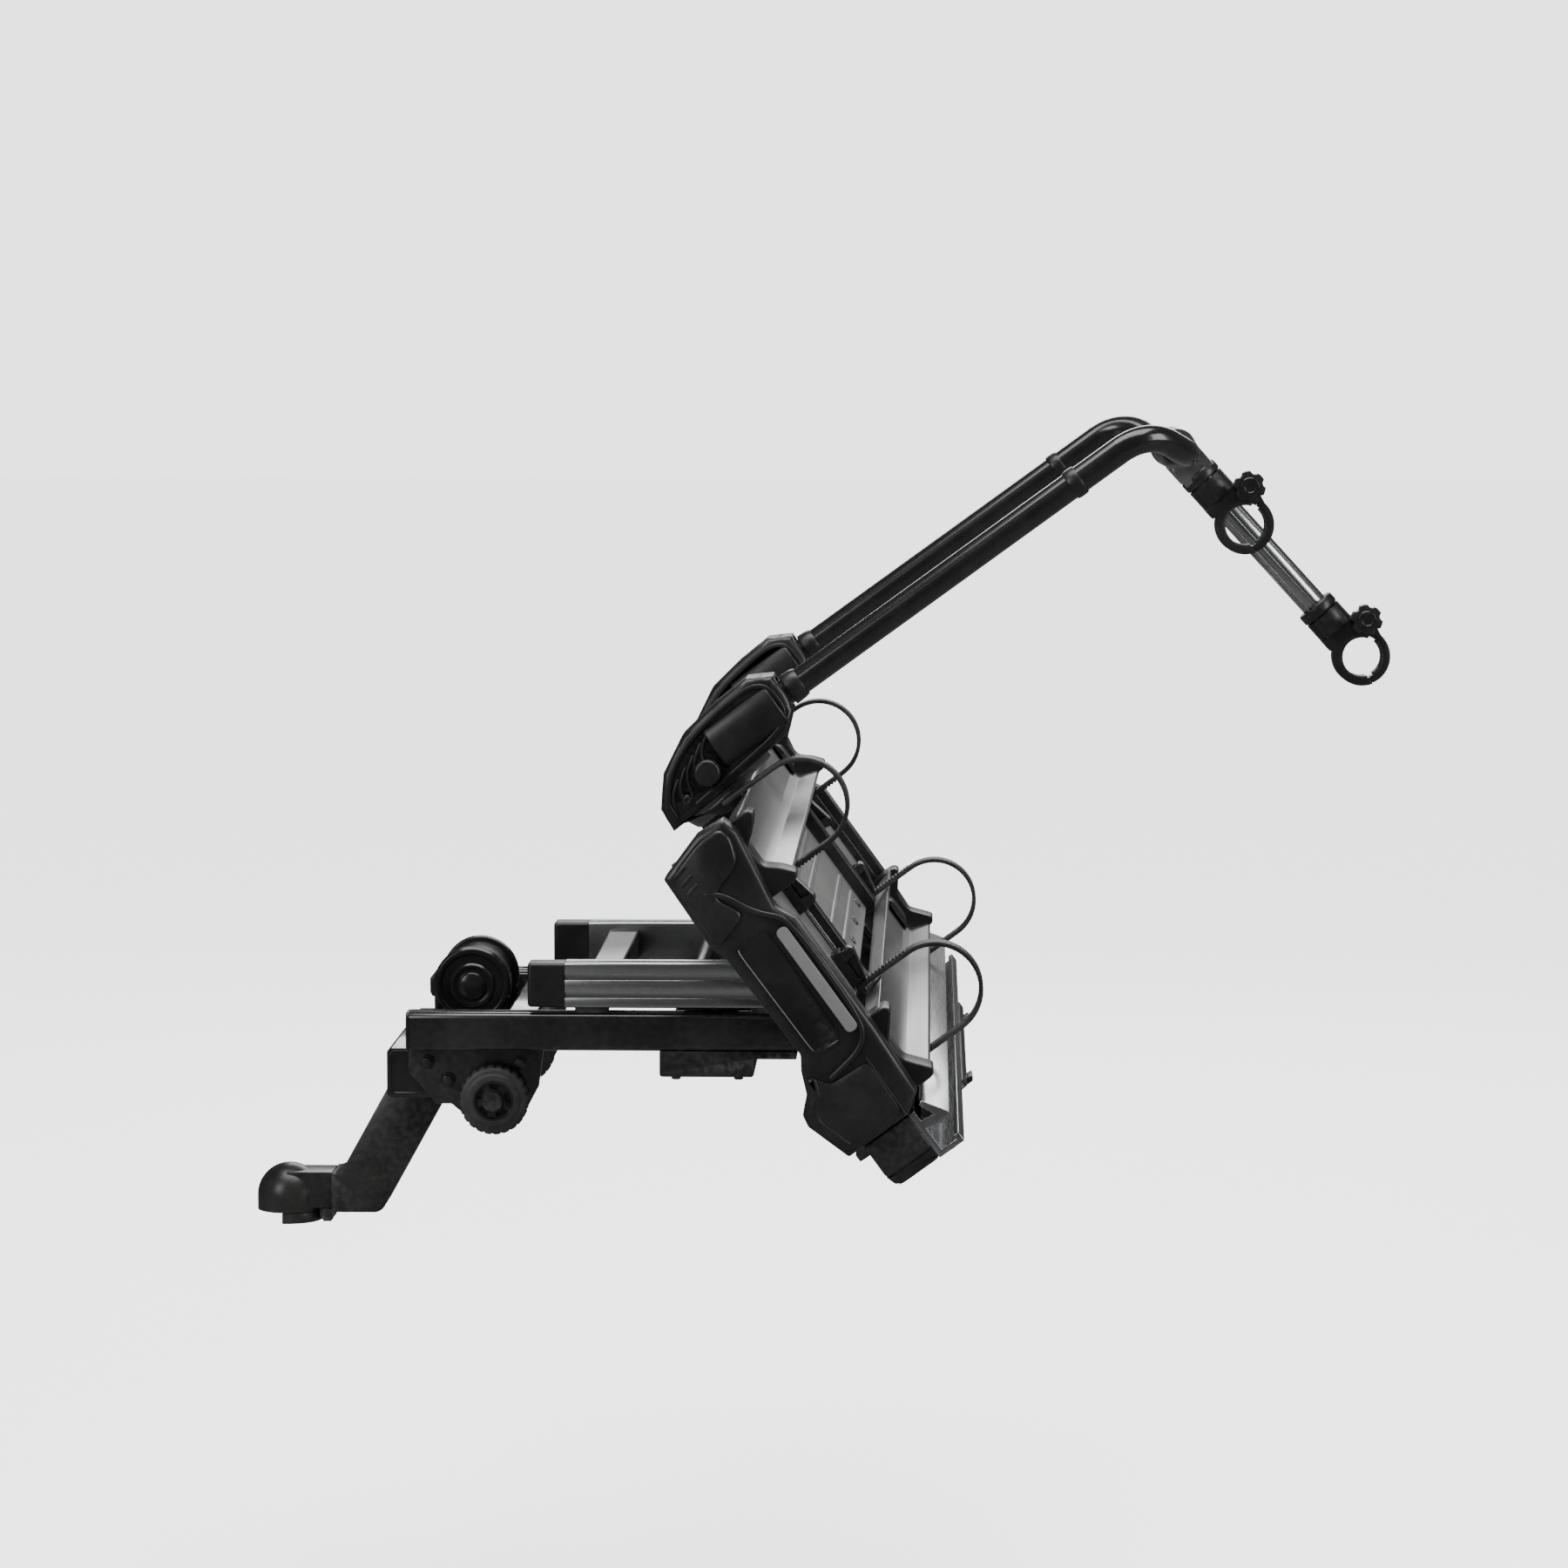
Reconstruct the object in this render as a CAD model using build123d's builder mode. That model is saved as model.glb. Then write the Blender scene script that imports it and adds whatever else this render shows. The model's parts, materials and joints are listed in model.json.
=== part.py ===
from build123d import *
import os
from math import cos, radians, sin, tan

# A bicycle carrier that clamps on a 50 mm tow ball. The origin is the ball's centre, +X points away from
# the car, +Z is up, and the carrier is symmetric about Y = 0. The deck is drawn slid out and tilted down.
# Left is -Y, the side on the left hand of someone who looks towards the car. All sizes are in millimetres.

os.makedirs("parts", exist_ok=True)

# ---- driving dimensions: hitch ----
ball_radius = 25.0
ball_clearance = 0.2
socket_wall = 6.3
skirt_depth = 14.0
neck_half_width = 30.0
neck_wall = 5.0
neck_angle = 61.0
neck_low, neck_high = -13.0, 25.0
neck_outer_corner, neck_inner_corner = 93.0, 53.0
beam_low, beam_high = 118.0, 165.0
beam_front, beam_rear = 112.0, 190.0
beam_wall = 4.0
plate_thickness = 6.0

# ---- driving dimensions: rails ----
rail_gap = 290.0
rail_width = 30.0
rail_front, rail_rear = 134.0, 504.0
rail_low, rail_high = 168.0, 204.0
rail_wall = 3.0
rail_slot = 10.0
plug_flange = 3.0
pad_height = 5.0
slide_front, slide_rear = 284.0, 500.0
slide_height = 43.0
slide_cap_length = 35.0
slide_travel = 75.0
pad_inset = 25.0
pad_foot_half = 14.0

# ---- driving dimensions: transport wheels ----
wheel_x, wheel_z = 216.0, 120.0
wheel_radius = 33.0
wheel_width = 24.0
wheel_hub_radius = 19.0
wheel_bolt_radius = 6.0

# ---- driving dimensions: deck ----
deck_tilt = 54.0
pivot_x, pivot_z = 520.0, 215.0
pivot_u = 202.0
pin_radius = 6.0
running_gap = 0.05
deck_half_width = 612.0
cover_depth = 48.0
cover_wall = 4.0
frame_plate = 6.0
tray_front_u, tray_rear_u = 32.0, 237.0
tray_half = 38.0
tray_low, tray_floor, tray_lip = 50.0, 59.0, 80.0
beam_gap = 390.0
deck_beam_width = 30.0
deck_beam_low = 15.0
deck_beam_front, deck_beam_rear = -50.0, 304.0
panel_thickness = 4.0
strap_y = 350.0
strap_width = 24.0
strap_thickness = 4.0
strap_top = 156.0

# ---- driving dimensions: upright frame and arms ----
leg_y = 300.0
leg_u = -56.0
tube_radius = 12.5
tube_wall = 2.0
fold_v = 110.0
knuckle_radius = 14.0
cross_u, cross_v = -16.0, 578.0
shoulder_v = 560.0
boot_half_width = 32.0
arm_radius = 13.0
arm_rise = 6.5
claw_radius = 21.0
claw_wall = 7.0
claw_width = 30.0

# ---- derived places ----
rail_inner = rail_gap / 2
plate_inner = rail_inner - plate_thickness
rail_y = rail_inner + rail_width / 2
rail_outer = rail_inner + rail_width
slide_low = rail_high + pad_height
slide_high = slide_low + slide_height
slot_front = slide_front - slide_travel + pad_inset - pad_foot_half - 3
slot_rear = slide_rear - pad_inset + pad_foot_half + 3
tray_end = deck_half_width - cover_depth - frame_plate
socket_radius = ball_radius + ball_clearance
socket_outer = socket_radius + socket_wall
deck_x = Vector(cos(radians(deck_tilt)), 0, -sin(radians(deck_tilt)))
deck_z = Vector(sin(radians(deck_tilt)), 0, cos(radians(deck_tilt)))
deck_origin = Vector(pivot_x, 0, pivot_z) - deck_x * pivot_u
sides = {"left": -1, "right": 1}
on_base = (Align.CENTER, Align.CENTER, Align.MIN)


def deck_point(u, y, v):
    """A point of the deck: u runs away from the car, v up from the deck."""
    return deck_origin + deck_x * u + Vector(0, y, 0) + deck_z * v


def deck_side(y):
    """The deck's side plane, with u and v as its axes. Its normal is -Y."""
    return Plane(origin=deck_point(0, y, 0), x_dir=deck_x, z_dir=(0, -1, 0))


def deck_top(v):
    """The deck's flat plane, with u and Y as its axes."""
    return Plane(origin=deck_point(0, 0, v), x_dir=deck_x, z_dir=deck_z)


def deck_end(u):
    """The deck's cross plane, with Y and v as its axes. Its normal is u."""
    return Plane(origin=deck_point(u, 0, 0), x_dir=(0, 1, 0), z_dir=deck_x)


def side_span(side, near, far):
    """The start plane's y and the signed length that fill |Y| from near to far on one side."""
    return side * near, -side * (far - near)


def save(piece, name):
    """Label a finished piece and write its STEP file."""
    piece.part.label = name
    export_step(piece.part, f"parts/{name}.step")


def face(*points, mode=Mode.ADD):
    """Draw a polygon through these points in the open sketch."""
    Polygon(*points, align=None, mode=mode)


# ======== hitch ========

# Cup over the top half of the ball, with a neck that meets the bent bar.
jaw_pin_x, jaw_pin_z, jaw_pin_radius = 38.0, -17.0, 4.0
cup_neck_end = 44.0
with BuildPart() as coupling_head:
    Sphere(socket_outer, arc_size1=0, align=on_base)
    with Locations((0, 0, -skirt_depth / 2)):
        Cylinder(socket_outer, skirt_depth)
    with BuildSketch(Plane.XZ):
        with Locations((cup_neck_end / 2, (neck_high - 10) / 2)):
            Rectangle(cup_neck_end, neck_high + 10)
    extrude(amount=22, both=True)
    with BuildSketch(Plane.XZ):
        face((31, -10), (31, -17), (33.2, -20.5), (34.5, -24.5), (42, -24.5), (44, -22), (44, -10))
    extrude(amount=15.5, both=True)
    with BuildSketch(Plane.XZ):
        with Locations((33, -20)):
            Rectangle(24, 20)
    extrude(amount=9, both=True, mode=Mode.SUBTRACT)
    with Locations(Plane((jaw_pin_x, 0, jaw_pin_z), z_dir=(0, 1, 0))):
        Cylinder(jaw_pin_radius, 40, mode=Mode.SUBTRACT)
    Sphere(socket_radius, arc_size1=0, align=on_base, mode=Mode.SUBTRACT)
    with Locations((0, 0, -skirt_depth / 2)):
        Cylinder(socket_radius, skirt_depth, mode=Mode.SUBTRACT)
save(coupling_head, "coupling_head")

# Half ring that closes under the ball, hinged behind it.
jaw_top = -skirt_depth - 0.7
with BuildPart() as coupling_jaw:
    with BuildSketch(Plane.XZ):
        face((21.8, jaw_top), (16.8, jaw_top - 6), (16.8, jaw_top - 10), (31.3, jaw_top - 10),
             (31.3, jaw_top))
    revolve(axis=Axis.Z, revolution_arc=360)
    with BuildSketch(Plane.XY.offset(jaw_top + 1)):
        with Locations((-24, 0)):
            Rectangle(40, 80)
    extrude(amount=-20, mode=Mode.SUBTRACT)
    with BuildSketch(Plane.XZ):
        with Locations((31, (jaw_top - 1 + jaw_top - 9) / 2)):
            Rectangle(14, 8)
        with Locations((jaw_pin_x, jaw_pin_z)):
            Circle(6)
    extrude(amount=8.5, both=True)
    with Locations(Plane((jaw_pin_x, 0, jaw_pin_z), z_dir=(0, 1, 0))):
        Cylinder(jaw_pin_radius + running_gap, 40, mode=Mode.SUBTRACT)
save(coupling_jaw, "coupling_jaw")

# Bent box-section bar from the cup up to the cross beam.
slope = tan(radians(neck_angle))
neck_points = [
    (cup_neck_end, neck_low),
    (neck_outer_corner, neck_low),
    (neck_outer_corner + (beam_low - neck_low) / slope, beam_low),
    (neck_inner_corner + (beam_low - neck_high) / slope, beam_low),
    (neck_inner_corner, neck_high),
    (cup_neck_end, neck_high),
]
rod_low, rod_high, rod_radius, rod_hole = 42.0, 182.0, 5.0, 7.5
rod_start = Vector((neck_outer_corner + neck_inner_corner) / 2, 0, (neck_low + neck_high) / 2)
rod_direction = Vector(cos(radians(neck_angle)), 0, sin(radians(neck_angle)))


def rod_plane(distance):
    """A plane across the clamp rod, this far along the neck's slope."""
    return Plane(origin=rod_start + rod_direction * distance, x_dir=(0, 1, 0), z_dir=rod_direction)


def rod_opening(low, high):
    """Cut the clamp rod's clearance hole between two distances along it."""
    with Locations(rod_plane((low + high) / 2)):
        Cylinder(rod_hole, high - low, mode=Mode.SUBTRACT)


with BuildPart() as gooseneck:
    with BuildSketch(Plane.XZ):
        face(*neck_points)
    extrude(amount=neck_half_width, both=True)
    bends = [e for e in gooseneck.edges().filter_by(Axis.Y)
             if abs(e.center().X - neck_outer_corner) < 1 or abs(e.center().X - neck_inner_corner) < 1]
    fillet(bends, 12)
    with BuildSketch(Plane.XZ):
        face(*neck_points)
        offset(amount=-neck_wall, kind=Kind.INTERSECTION)
    extrude(amount=neck_half_width - neck_wall, both=True, mode=Mode.SUBTRACT)
    rod_opening(110, 150)
save(gooseneck, "gooseneck")

with BuildPart() as clamp_rod:
    with BuildSketch(rod_plane(rod_low)):
        Circle(rod_radius)
    extrude(amount=rod_high - rod_low)
save(clamp_rod, "clamp_rod")

with BuildPart() as cross_beam:
    with BuildSketch(Plane.XZ):
        with Locations(((beam_front + beam_rear) / 2, (beam_low + beam_high) / 2)):
            RectangleRounded(beam_rear - beam_front, beam_high - beam_low, 5)
            Rectangle(beam_rear - beam_front - 2 * beam_wall, beam_high - beam_low - 2 * beam_wall,
                      mode=Mode.SUBTRACT)
    extrude(amount=plate_inner, both=True)
    rod_opening(110, 200)
save(cross_beam, "cross_beam")

with BuildPart() as side_plates:
    with BuildSketch(Plane.XZ.offset(plate_inner)):
        face((rail_front - 1, rail_high - 4), (rail_front - 1, 143), (160, 113), (174, 113), (192, 98),
             (240, 98), (257, 130), (262, rail_low), (262, rail_high - 4))
        with Locations((wheel_x, wheel_z)):
            Circle(wheel_bolt_radius, mode=Mode.SUBTRACT)
    extrude(amount=plate_thickness)
    mirror(about=Plane.XZ)
save(side_plates, "side_plates")

# Rounded square tubes with a slot along the top for the sliding pads.
with BuildPart() as base_rails:
    with BuildSketch(Plane.YZ.offset(rail_front + plug_flange)):
        with Locations((rail_y, (rail_low + rail_high) / 2)):
            RectangleRounded(rail_width, rail_high - rail_low, 6)
            RectangleRounded(rail_width - 2 * rail_wall, rail_high - rail_low - 2 * rail_wall, 3,
                             mode=Mode.SUBTRACT)
    extrude(amount=rail_rear - rail_front - 2 * plug_flange)
    with Locations(((slot_front + slot_rear) / 2, rail_y, rail_high - rail_wall / 2)):
        Box(slot_rear - slot_front, rail_slot, rail_wall + 2, mode=Mode.SUBTRACT)
    mirror(about=Plane.XZ)
save(base_rails, "base_rails")

with BuildPart() as base_rail_plugs:
    for x, inward in ((rail_front, 1), (rail_rear, -1)):
        with BuildSketch(Plane.YZ.offset(x)):
            with Locations((rail_y, (rail_low + rail_high) / 2)):
                RectangleRounded(rail_width, rail_high - rail_low, 6)
        extrude(amount=inward * plug_flange)
        with BuildSketch(Plane.YZ.offset(x)):
            with Locations((rail_y, (rail_low + rail_high) / 2)):
                RectangleRounded(rail_width - 2 * rail_wall, rail_high - rail_low - 2 * rail_wall, 3)
        extrude(amount=inward * 14)
    mirror(about=Plane.XZ)
save(base_rail_plugs, "base_rail_plugs")

with BuildPart() as base_cross_members:
    for x, half in ((240, plate_inner), (470, rail_inner)):
        with BuildSketch(Plane.XZ):
            with Locations((x, rail_high - 19)):
                RectangleRounded(30, 30, 4)
                Rectangle(25, 25, mode=Mode.SUBTRACT)
        extrude(amount=half, both=True)
save(base_cross_members, "base_cross_members")

# Housing of the slide lock, hung under both rails.
lock_front, lock_step, lock_rear = 373.0, 462.0, 502.0
lock_low, lock_step_low = 144.0, 161.0
lock_x = 420.0
lock_radius = 5.0
lock_socket = 2 * lock_radius + 0.8
carriage_plate_low = slide_low
with BuildPart() as lock_housing:
    with BuildSketch(Plane.XZ):
        face((lock_front, lock_low), (lock_step, lock_low), (lock_step, lock_step_low),
             (lock_rear, lock_step_low), (lock_rear, rail_low), (lock_front, rail_low))
    extrude(amount=rail_outer - 1, both=True)
    with BuildSketch(Plane.XZ):
        with Locations(((lock_front + lock_step) / 2, lock_low + 12)):
            Rectangle(lock_step - lock_front - 8, 17)
    extrude(amount=rail_outer - 5, both=True, mode=Mode.SUBTRACT)
    with Locations((lock_x, 0, lock_low)):
        Cylinder(lock_radius + running_gap, 80, mode=Mode.SUBTRACT)
    fillet(lock_housing.edges().filter_by(Axis.Y).group_by(Axis.Z)[0], 3)
save(lock_housing, "lock_housing")

# Sprung plunger with its grip below the housing. Pushed up, it locks the sliding carriage.
grip_low = lock_low - 22
with BuildPart() as slide_lock_plunger:
    with BuildSketch(Plane.XY.offset(grip_low)):
        with Locations((lock_x, 0)):
            Circle(lock_radius)
    extrude(amount=carriage_plate_low - 1 - grip_low)
    chamfer(slide_lock_plunger.edges().filter_by(GeomType.CIRCLE).sort_by(Axis.Z)[-1], 1.5)
    with BuildSketch(Plane.XY.offset(grip_low)):
        with Locations((lock_x, 0)):
            Circle(15)
            with PolarLocations(17, 8):
                Circle(4, mode=Mode.SUBTRACT)
    extrude(amount=12)
save(slide_lock_plunger, "slide_lock_plunger")

# Domed cheeks that carry the coupling lever's pivot.
hub_x, hub_z, hub_radius = 185.0, 213.0, 37.0
cheek_inner, cheek_outer = 38.0, 47.0
lever_pin_radius = 6.0
lever_drum_radius = 33.0
with BuildPart() as lever_housing:
    with BuildSketch(Plane.XZ):
        with Locations((hub_x, hub_z)):
            Circle(hub_radius)
        face((hub_x - hub_radius, hub_z), (hub_x - hub_radius, beam_high),
             (hub_x + hub_radius - 4, beam_high), (hub_x + hub_radius, hub_z))
    extrude(amount=cheek_outer, both=True)
    fillet(lever_housing.edges().filter_by(GeomType.CIRCLE), 3)
    with BuildSketch(Plane.XZ):
        with Locations((hub_x, beam_high + 6 + 50)):
            Rectangle(2 * hub_radius + 10, 100)
    extrude(amount=cheek_inner, both=True, mode=Mode.SUBTRACT)
    with Locations(Plane((hub_x, 0, hub_z), z_dir=(0, 1, 0))):
        Cylinder(lever_pin_radius, 120, mode=Mode.SUBTRACT)
    rod_opening(160, 230)
save(lever_housing, "lever_housing")

with BuildPart() as coupling_lever:
    with BuildSketch(Plane.XZ):
        with Locations((hub_x, hub_z)):
            Circle(lever_drum_radius)
        face((145, hub_z - 12), (143, hub_z - 8), (143, hub_z + 6), (148, hub_z + 10), (172, hub_z + 14),
             (172, hub_z - 14))
    extrude(amount=cheek_inner - 1, both=True)
    with Locations(Plane((hub_x, 0, hub_z), z_dir=(0, 1, 0))):
        Cylinder(lever_pin_radius + running_gap, 120, mode=Mode.SUBTRACT)
    with BuildSketch(Plane.XZ):
        with Locations((hub_x, hub_z)):
            Circle(lever_drum_radius - 5)
            Circle(12, mode=Mode.SUBTRACT)
            Rectangle(80, 7, mode=Mode.SUBTRACT)
            Rectangle(7, 80, mode=Mode.SUBTRACT)
    extrude(amount=cheek_inner - 8, both=True, mode=Mode.SUBTRACT)
save(coupling_lever, "coupling_lever")

# Transport wheels outside the side plates, each on its own shoulder bolt.
wheel_inner = rail_inner + 3
wheel_outer = wheel_inner + wheel_width

# The hitch's four round pivots, as (x, z, radius, inner end, outer end, head radius, head thickness).
pivots = [
    (jaw_pin_x, jaw_pin_z, jaw_pin_radius, 0, 15.5, 6, 3),
    (hub_x, hub_z, lever_pin_radius, 0, cheek_outer, 13, 4),
    (wheel_x, wheel_z, wheel_bolt_radius, plate_inner, wheel_outer + 2, 9, 6),
]
with BuildPart() as pivot_bolts:
    for x, z, radius, inner, outer, head, thickness in pivots:
        with BuildSketch(Plane.XZ.offset(inner)):
            with Locations((x, z)):
                Circle(radius)
        extrude(amount=outer - inner)
        with BuildSketch(Plane.XZ.offset(outer)):
            with Locations((x, z)):
                Circle(head)
        extrude(amount=thickness)
    with BuildSketch(Plane.XZ.offset(plate_inner)):
        with Locations((wheel_x, wheel_z)):
            Circle(10)
    extrude(amount=-8)
    mirror(about=Plane.XZ)
save(pivot_bolts, "pivot_bolts")

for name, side in sides.items():
    y, length = side_span(side, wheel_inner, wheel_inner + wheel_width)
    with BuildPart() as wheel_hub:
        with BuildSketch(Plane.XZ.offset(-y)):
            with Locations((wheel_x, wheel_z)):
                Circle(wheel_hub_radius)
                Circle(wheel_bolt_radius + running_gap, mode=Mode.SUBTRACT)
        extrude(amount=length)
        with BuildSketch(Plane.XZ.offset(-y + length)):
            with Locations((wheel_x, wheel_z)):
                Circle(wheel_hub_radius - 4)
                Circle(10, mode=Mode.SUBTRACT)
        extrude(amount=-length / 3, mode=Mode.SUBTRACT)
    save(wheel_hub, f"wheel_hub_{name}")
    with BuildPart() as wheel_tyre:
        with BuildSketch(Plane.XZ.offset(-y)):
            with Locations((wheel_x, wheel_z)):
                Circle(wheel_radius)
                Circle(wheel_hub_radius, mode=Mode.SUBTRACT)
        extrude(amount=length)
        rims = wheel_tyre.edges().filter_by(GeomType.CIRCLE)
        fillet([e for e in rims if e.radius > wheel_hub_radius + 1], 5)
    save(wheel_tyre, f"wheel_tyre_{name}")

# ======== carriage ========

with BuildPart() as slide_rails:
    with BuildSketch(Plane.YZ.offset(slide_front)):
        with Locations((rail_y, (slide_low + slide_high) / 2)):
            RectangleRounded(rail_width, slide_height, 2.5)
            Rectangle(rail_width - 9, slide_height - 10, mode=Mode.SUBTRACT)
        for z in (slide_low + 12, slide_low + 29):
            with Locations((rail_outer - 1, z)):
                Rectangle(4, 5, mode=Mode.SUBTRACT)
        with Locations((rail_y, slide_high)):
            Rectangle(8, 5, mode=Mode.SUBTRACT)
    extrude(amount=slide_rear - slide_front)
    mirror(about=Plane.XZ)
save(slide_rails, "slide_rails")

with BuildPart() as slide_rail_caps:
    with BuildSketch(Plane.YZ.offset(slide_front)):
        with Locations((rail_y, (slide_low + slide_high) / 2)):
            RectangleRounded(rail_width + 1, slide_height - 1, 4)
    extrude(amount=-slide_cap_length)
    fillet(slide_rail_caps.faces().sort_by(Axis.X)[0].edges(), 3.5)
    with BuildSketch(Plane.YZ.offset(slide_front)):
        with Locations((rail_y, (slide_low + slide_high) / 2)):
            Rectangle(rail_width - 9.2, slide_height - 10.2)
    extrude(amount=10)
    mirror(about=Plane.XZ)
save(slide_rail_caps, "slide_rail_caps")

# Low-friction pads between the rails, with a foot that runs inside the slotted tube.
with BuildPart() as slide_pads:
    for x in (slide_front + pad_inset, slide_rear - pad_inset):
        with Locations((x, rail_y, rail_high + pad_height / 2)):
            Box(31, 22, pad_height)
        with Locations((x, rail_y, rail_high - 3)):
            Box(2 * pad_foot_half, rail_slot - 1, 6)
        with Locations((x, rail_y, rail_high - rail_wall - 4)):
            Box(2 * pad_foot_half, 18, 7)
    mirror(about=Plane.XZ)
save(slide_pads, "slide_pads")

# The carriage's cross parts and the plates that the deck's tilt pin turns in.
striker_x, striker_z, striker_radius = 408.0, 236.0, 7.0
eye_radius = 14.0
with BuildPart() as carriage_frame:
    with BuildSketch(Plane.XZ):
        with Locations((slide_front + 36, slide_low + 20)):
            RectangleRounded(30, 30, 3)
            Rectangle(25, 25, mode=Mode.SUBTRACT)
        with Locations((striker_x, striker_z)):
            Circle(striker_radius)
    extrude(amount=rail_inner, both=True)
    with BuildSketch(Plane.XY.offset(carriage_plate_low)):
        with Locations((lock_x, 0)):
            Rectangle(50, 2 * rail_inner)
            Rectangle(lock_socket, lock_socket, mode=Mode.SUBTRACT)
    extrude(amount=5)
    with BuildSketch(Plane.XZ.offset(plate_inner), Plane.XZ.offset(-rail_inner)):
        face((450, slide_low + 6), (pivot_x, pivot_z - eye_radius), (pivot_x + 10, pivot_z + 8),
             (slide_rear, slide_high - 6), (450, slide_high - 6))
        with Locations((pivot_x, pivot_z)):
            Circle(eye_radius)
            Circle(pin_radius + running_gap, mode=Mode.SUBTRACT)
    extrude(amount=plate_thickness)
save(carriage_frame, "carriage_frame")

# ======== deck ========

beam_inner = beam_gap / 2
beam_outer = beam_inner + deck_beam_width
ear_thickness = 8.0
boot_inner = leg_y - boot_half_width
boot_outer = leg_y + boot_half_width
fold_pin_radius = 5.0
with BuildPart() as hinge_pins:
    with Locations(Plane((pivot_x, 0, pivot_z), z_dir=(0, 1, 0))):
        Cylinder(pin_radius, 2 * beam_inner)
        for end in (-1, 1):
            with Locations((0, 0, end * (beam_inner + 3))):
                Cylinder(10, 6)
    for y in (-(boot_inner + 1), boot_outer - 1):
        with BuildSketch(deck_side(y)):
            with Locations((leg_u, fold_v)):
                Circle(fold_pin_radius)
        extrude(amount=2 * boot_half_width - 2)
save(hinge_pins, "hinge_pins")

# Two box beams under the trays, each with an ear that hangs down to the tilt pin.
with BuildPart() as deck_beams:
    with BuildSketch(deck_end(deck_beam_front)):
        with Locations((-(beam_inner + beam_outer) / 2, (deck_beam_low + tray_low) / 2)):
            RectangleRounded(deck_beam_width, tray_low - deck_beam_low, 4)
            Rectangle(deck_beam_width - 5, tray_low - deck_beam_low - 5, mode=Mode.SUBTRACT)
    extrude(amount=deck_beam_rear - deck_beam_front)
    with BuildSketch(deck_side(-(beam_inner - ear_thickness))):
        face((pivot_u - 24, tray_low - 6), (pivot_u - eye_radius, 0), (pivot_u + eye_radius, 0),
             (pivot_u + 24, tray_low - 6))
        with Locations((pivot_u, 0)):
            Circle(eye_radius)
            Circle(pin_radius, mode=Mode.SUBTRACT)
    extrude(amount=ear_thickness)
    mirror(about=Plane.XZ)
save(deck_beams, "deck_beams")

front_bar_front, front_bar_rear = -48.0, -12.0
with BuildPart() as front_bar:
    with BuildSketch(deck_side(0)):
        with Locations(((front_bar_front + front_bar_rear) / 2, tray_low + 12)):
            RectangleRounded(front_bar_rear - front_bar_front, 24, 4)
            Rectangle(front_bar_rear - front_bar_front - 6, 18, mode=Mode.SUBTRACT)
    extrude(amount=boot_inner, both=True)
save(front_bar, "front_bar")


def tray_section(u):
    """Draw a wheel tray's channel section, centred on u."""
    right = [(12, tray_low + 5), (12, tray_low), (20, tray_low), (20, tray_low + 5), (31, tray_low + 8),
             (tray_half, tray_lip), (tray_half - 4, tray_lip), (27, tray_floor + 3), (17, tray_floor)]
    left = [(-x, z) for x, z in reversed(right)]
    face(*[(u + x, z) for x, z in right + left])


for name, u in (("front", tray_front_u), ("rear", tray_rear_u)):
    with BuildPart() as wheel_tray:
        with BuildSketch(deck_side(0)):
            tray_section(u)
        extrude(amount=tray_end, both=True)
    save(wheel_tray, f"wheel_tray_{name}")

# Flat panels between the trays, split by two bars along the deck.
panel_front = tray_front_u + tray_half + 1
panel_rear = tray_rear_u - tray_half - 1
bar_inner, bar_outer = 290.0, 308.0
with BuildPart() as deck_panel:
    with BuildSketch(deck_top(tray_low)):
        with Locations(((panel_front + panel_rear) / 2, 0)):
            Rectangle(panel_rear - panel_front, 2 * bar_inner)
        for side in sides.values():
            with Locations(((panel_front + panel_rear) / 2, side * (bar_outer + tray_end) / 2)):
                Rectangle(panel_rear - panel_front, tray_end - bar_outer)
    extrude(amount=panel_thickness)
save(deck_panel, "deck_panel")

bar_height = 17.0
with BuildPart() as deck_bars:
    with BuildSketch(deck_end(panel_front)):
        with Locations(((bar_inner + bar_outer) / 2, tray_low + bar_height / 2)):
            RectangleRounded(bar_outer - bar_inner, bar_height, 3)
    extrude(amount=panel_rear - panel_front)
    mirror(about=Plane.XZ)
save(deck_bars, "deck_bars")

# Side frames: flat plates that close the trays' ends and carry the covers.
with BuildPart() as side_frames:
    with BuildSketch(deck_side(-tray_end)):
        face((-4, 8), (276, 8), (276, 52), (270, 62), (2, 62), (-4, 52))
    extrude(amount=frame_plate)
    mirror(about=Plane.XZ)
save(side_frames, "side_frames")

# End covers, hollow from the deck side, with a recess for the grey inset strip.
cover_points = [
    (0, 0), (72, -2), (84, 3), (189, 6), (201, -2), (220, -10), (232, -23), (243, -25), (284, -12),
    (284, 51), (272, 68), (208, 71), (92, 71), (74, 62), (4, 74), (-12, 70), (-14, 44),
]
inset_front, inset_rear, inset_low, inset_high = 90.0, 198.0, 50.0, 62.0
inset_depth = 3.0


def cover_outline(shrink=0.0):
    """Draw the end cover's outline, drawn in by a wall."""
    face(*cover_points)
    if shrink:
        offset(amount=-shrink, kind=Kind.INTERSECTION)


for name, side in sides.items():
    y, length = side_span(side, tray_end + frame_plate, deck_half_width)
    with BuildPart() as side_cover:
        with BuildSketch(deck_side(y)):
            cover_outline()
        extrude(amount=length)
        outer = side_cover.faces().sort_by(Axis.Y)[-1 if side > 0 else 0]
        chamfer(outer.edges(), 5)
        with BuildSketch(deck_side(y)):
            cover_outline(cover_wall)
        extrude(amount=length + side * (cover_wall + inset_depth + 2), mode=Mode.SUBTRACT)
        with BuildSketch(deck_side(side * deck_half_width)):
            with Locations(((inset_front + inset_rear) / 2, (inset_low + inset_high) / 2)):
                RectangleRounded(inset_rear - inset_front, inset_high - inset_low, 5)
        extrude(amount=side * inset_depth, mode=Mode.SUBTRACT)
    save(side_cover, f"side_cover_{name}")

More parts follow.
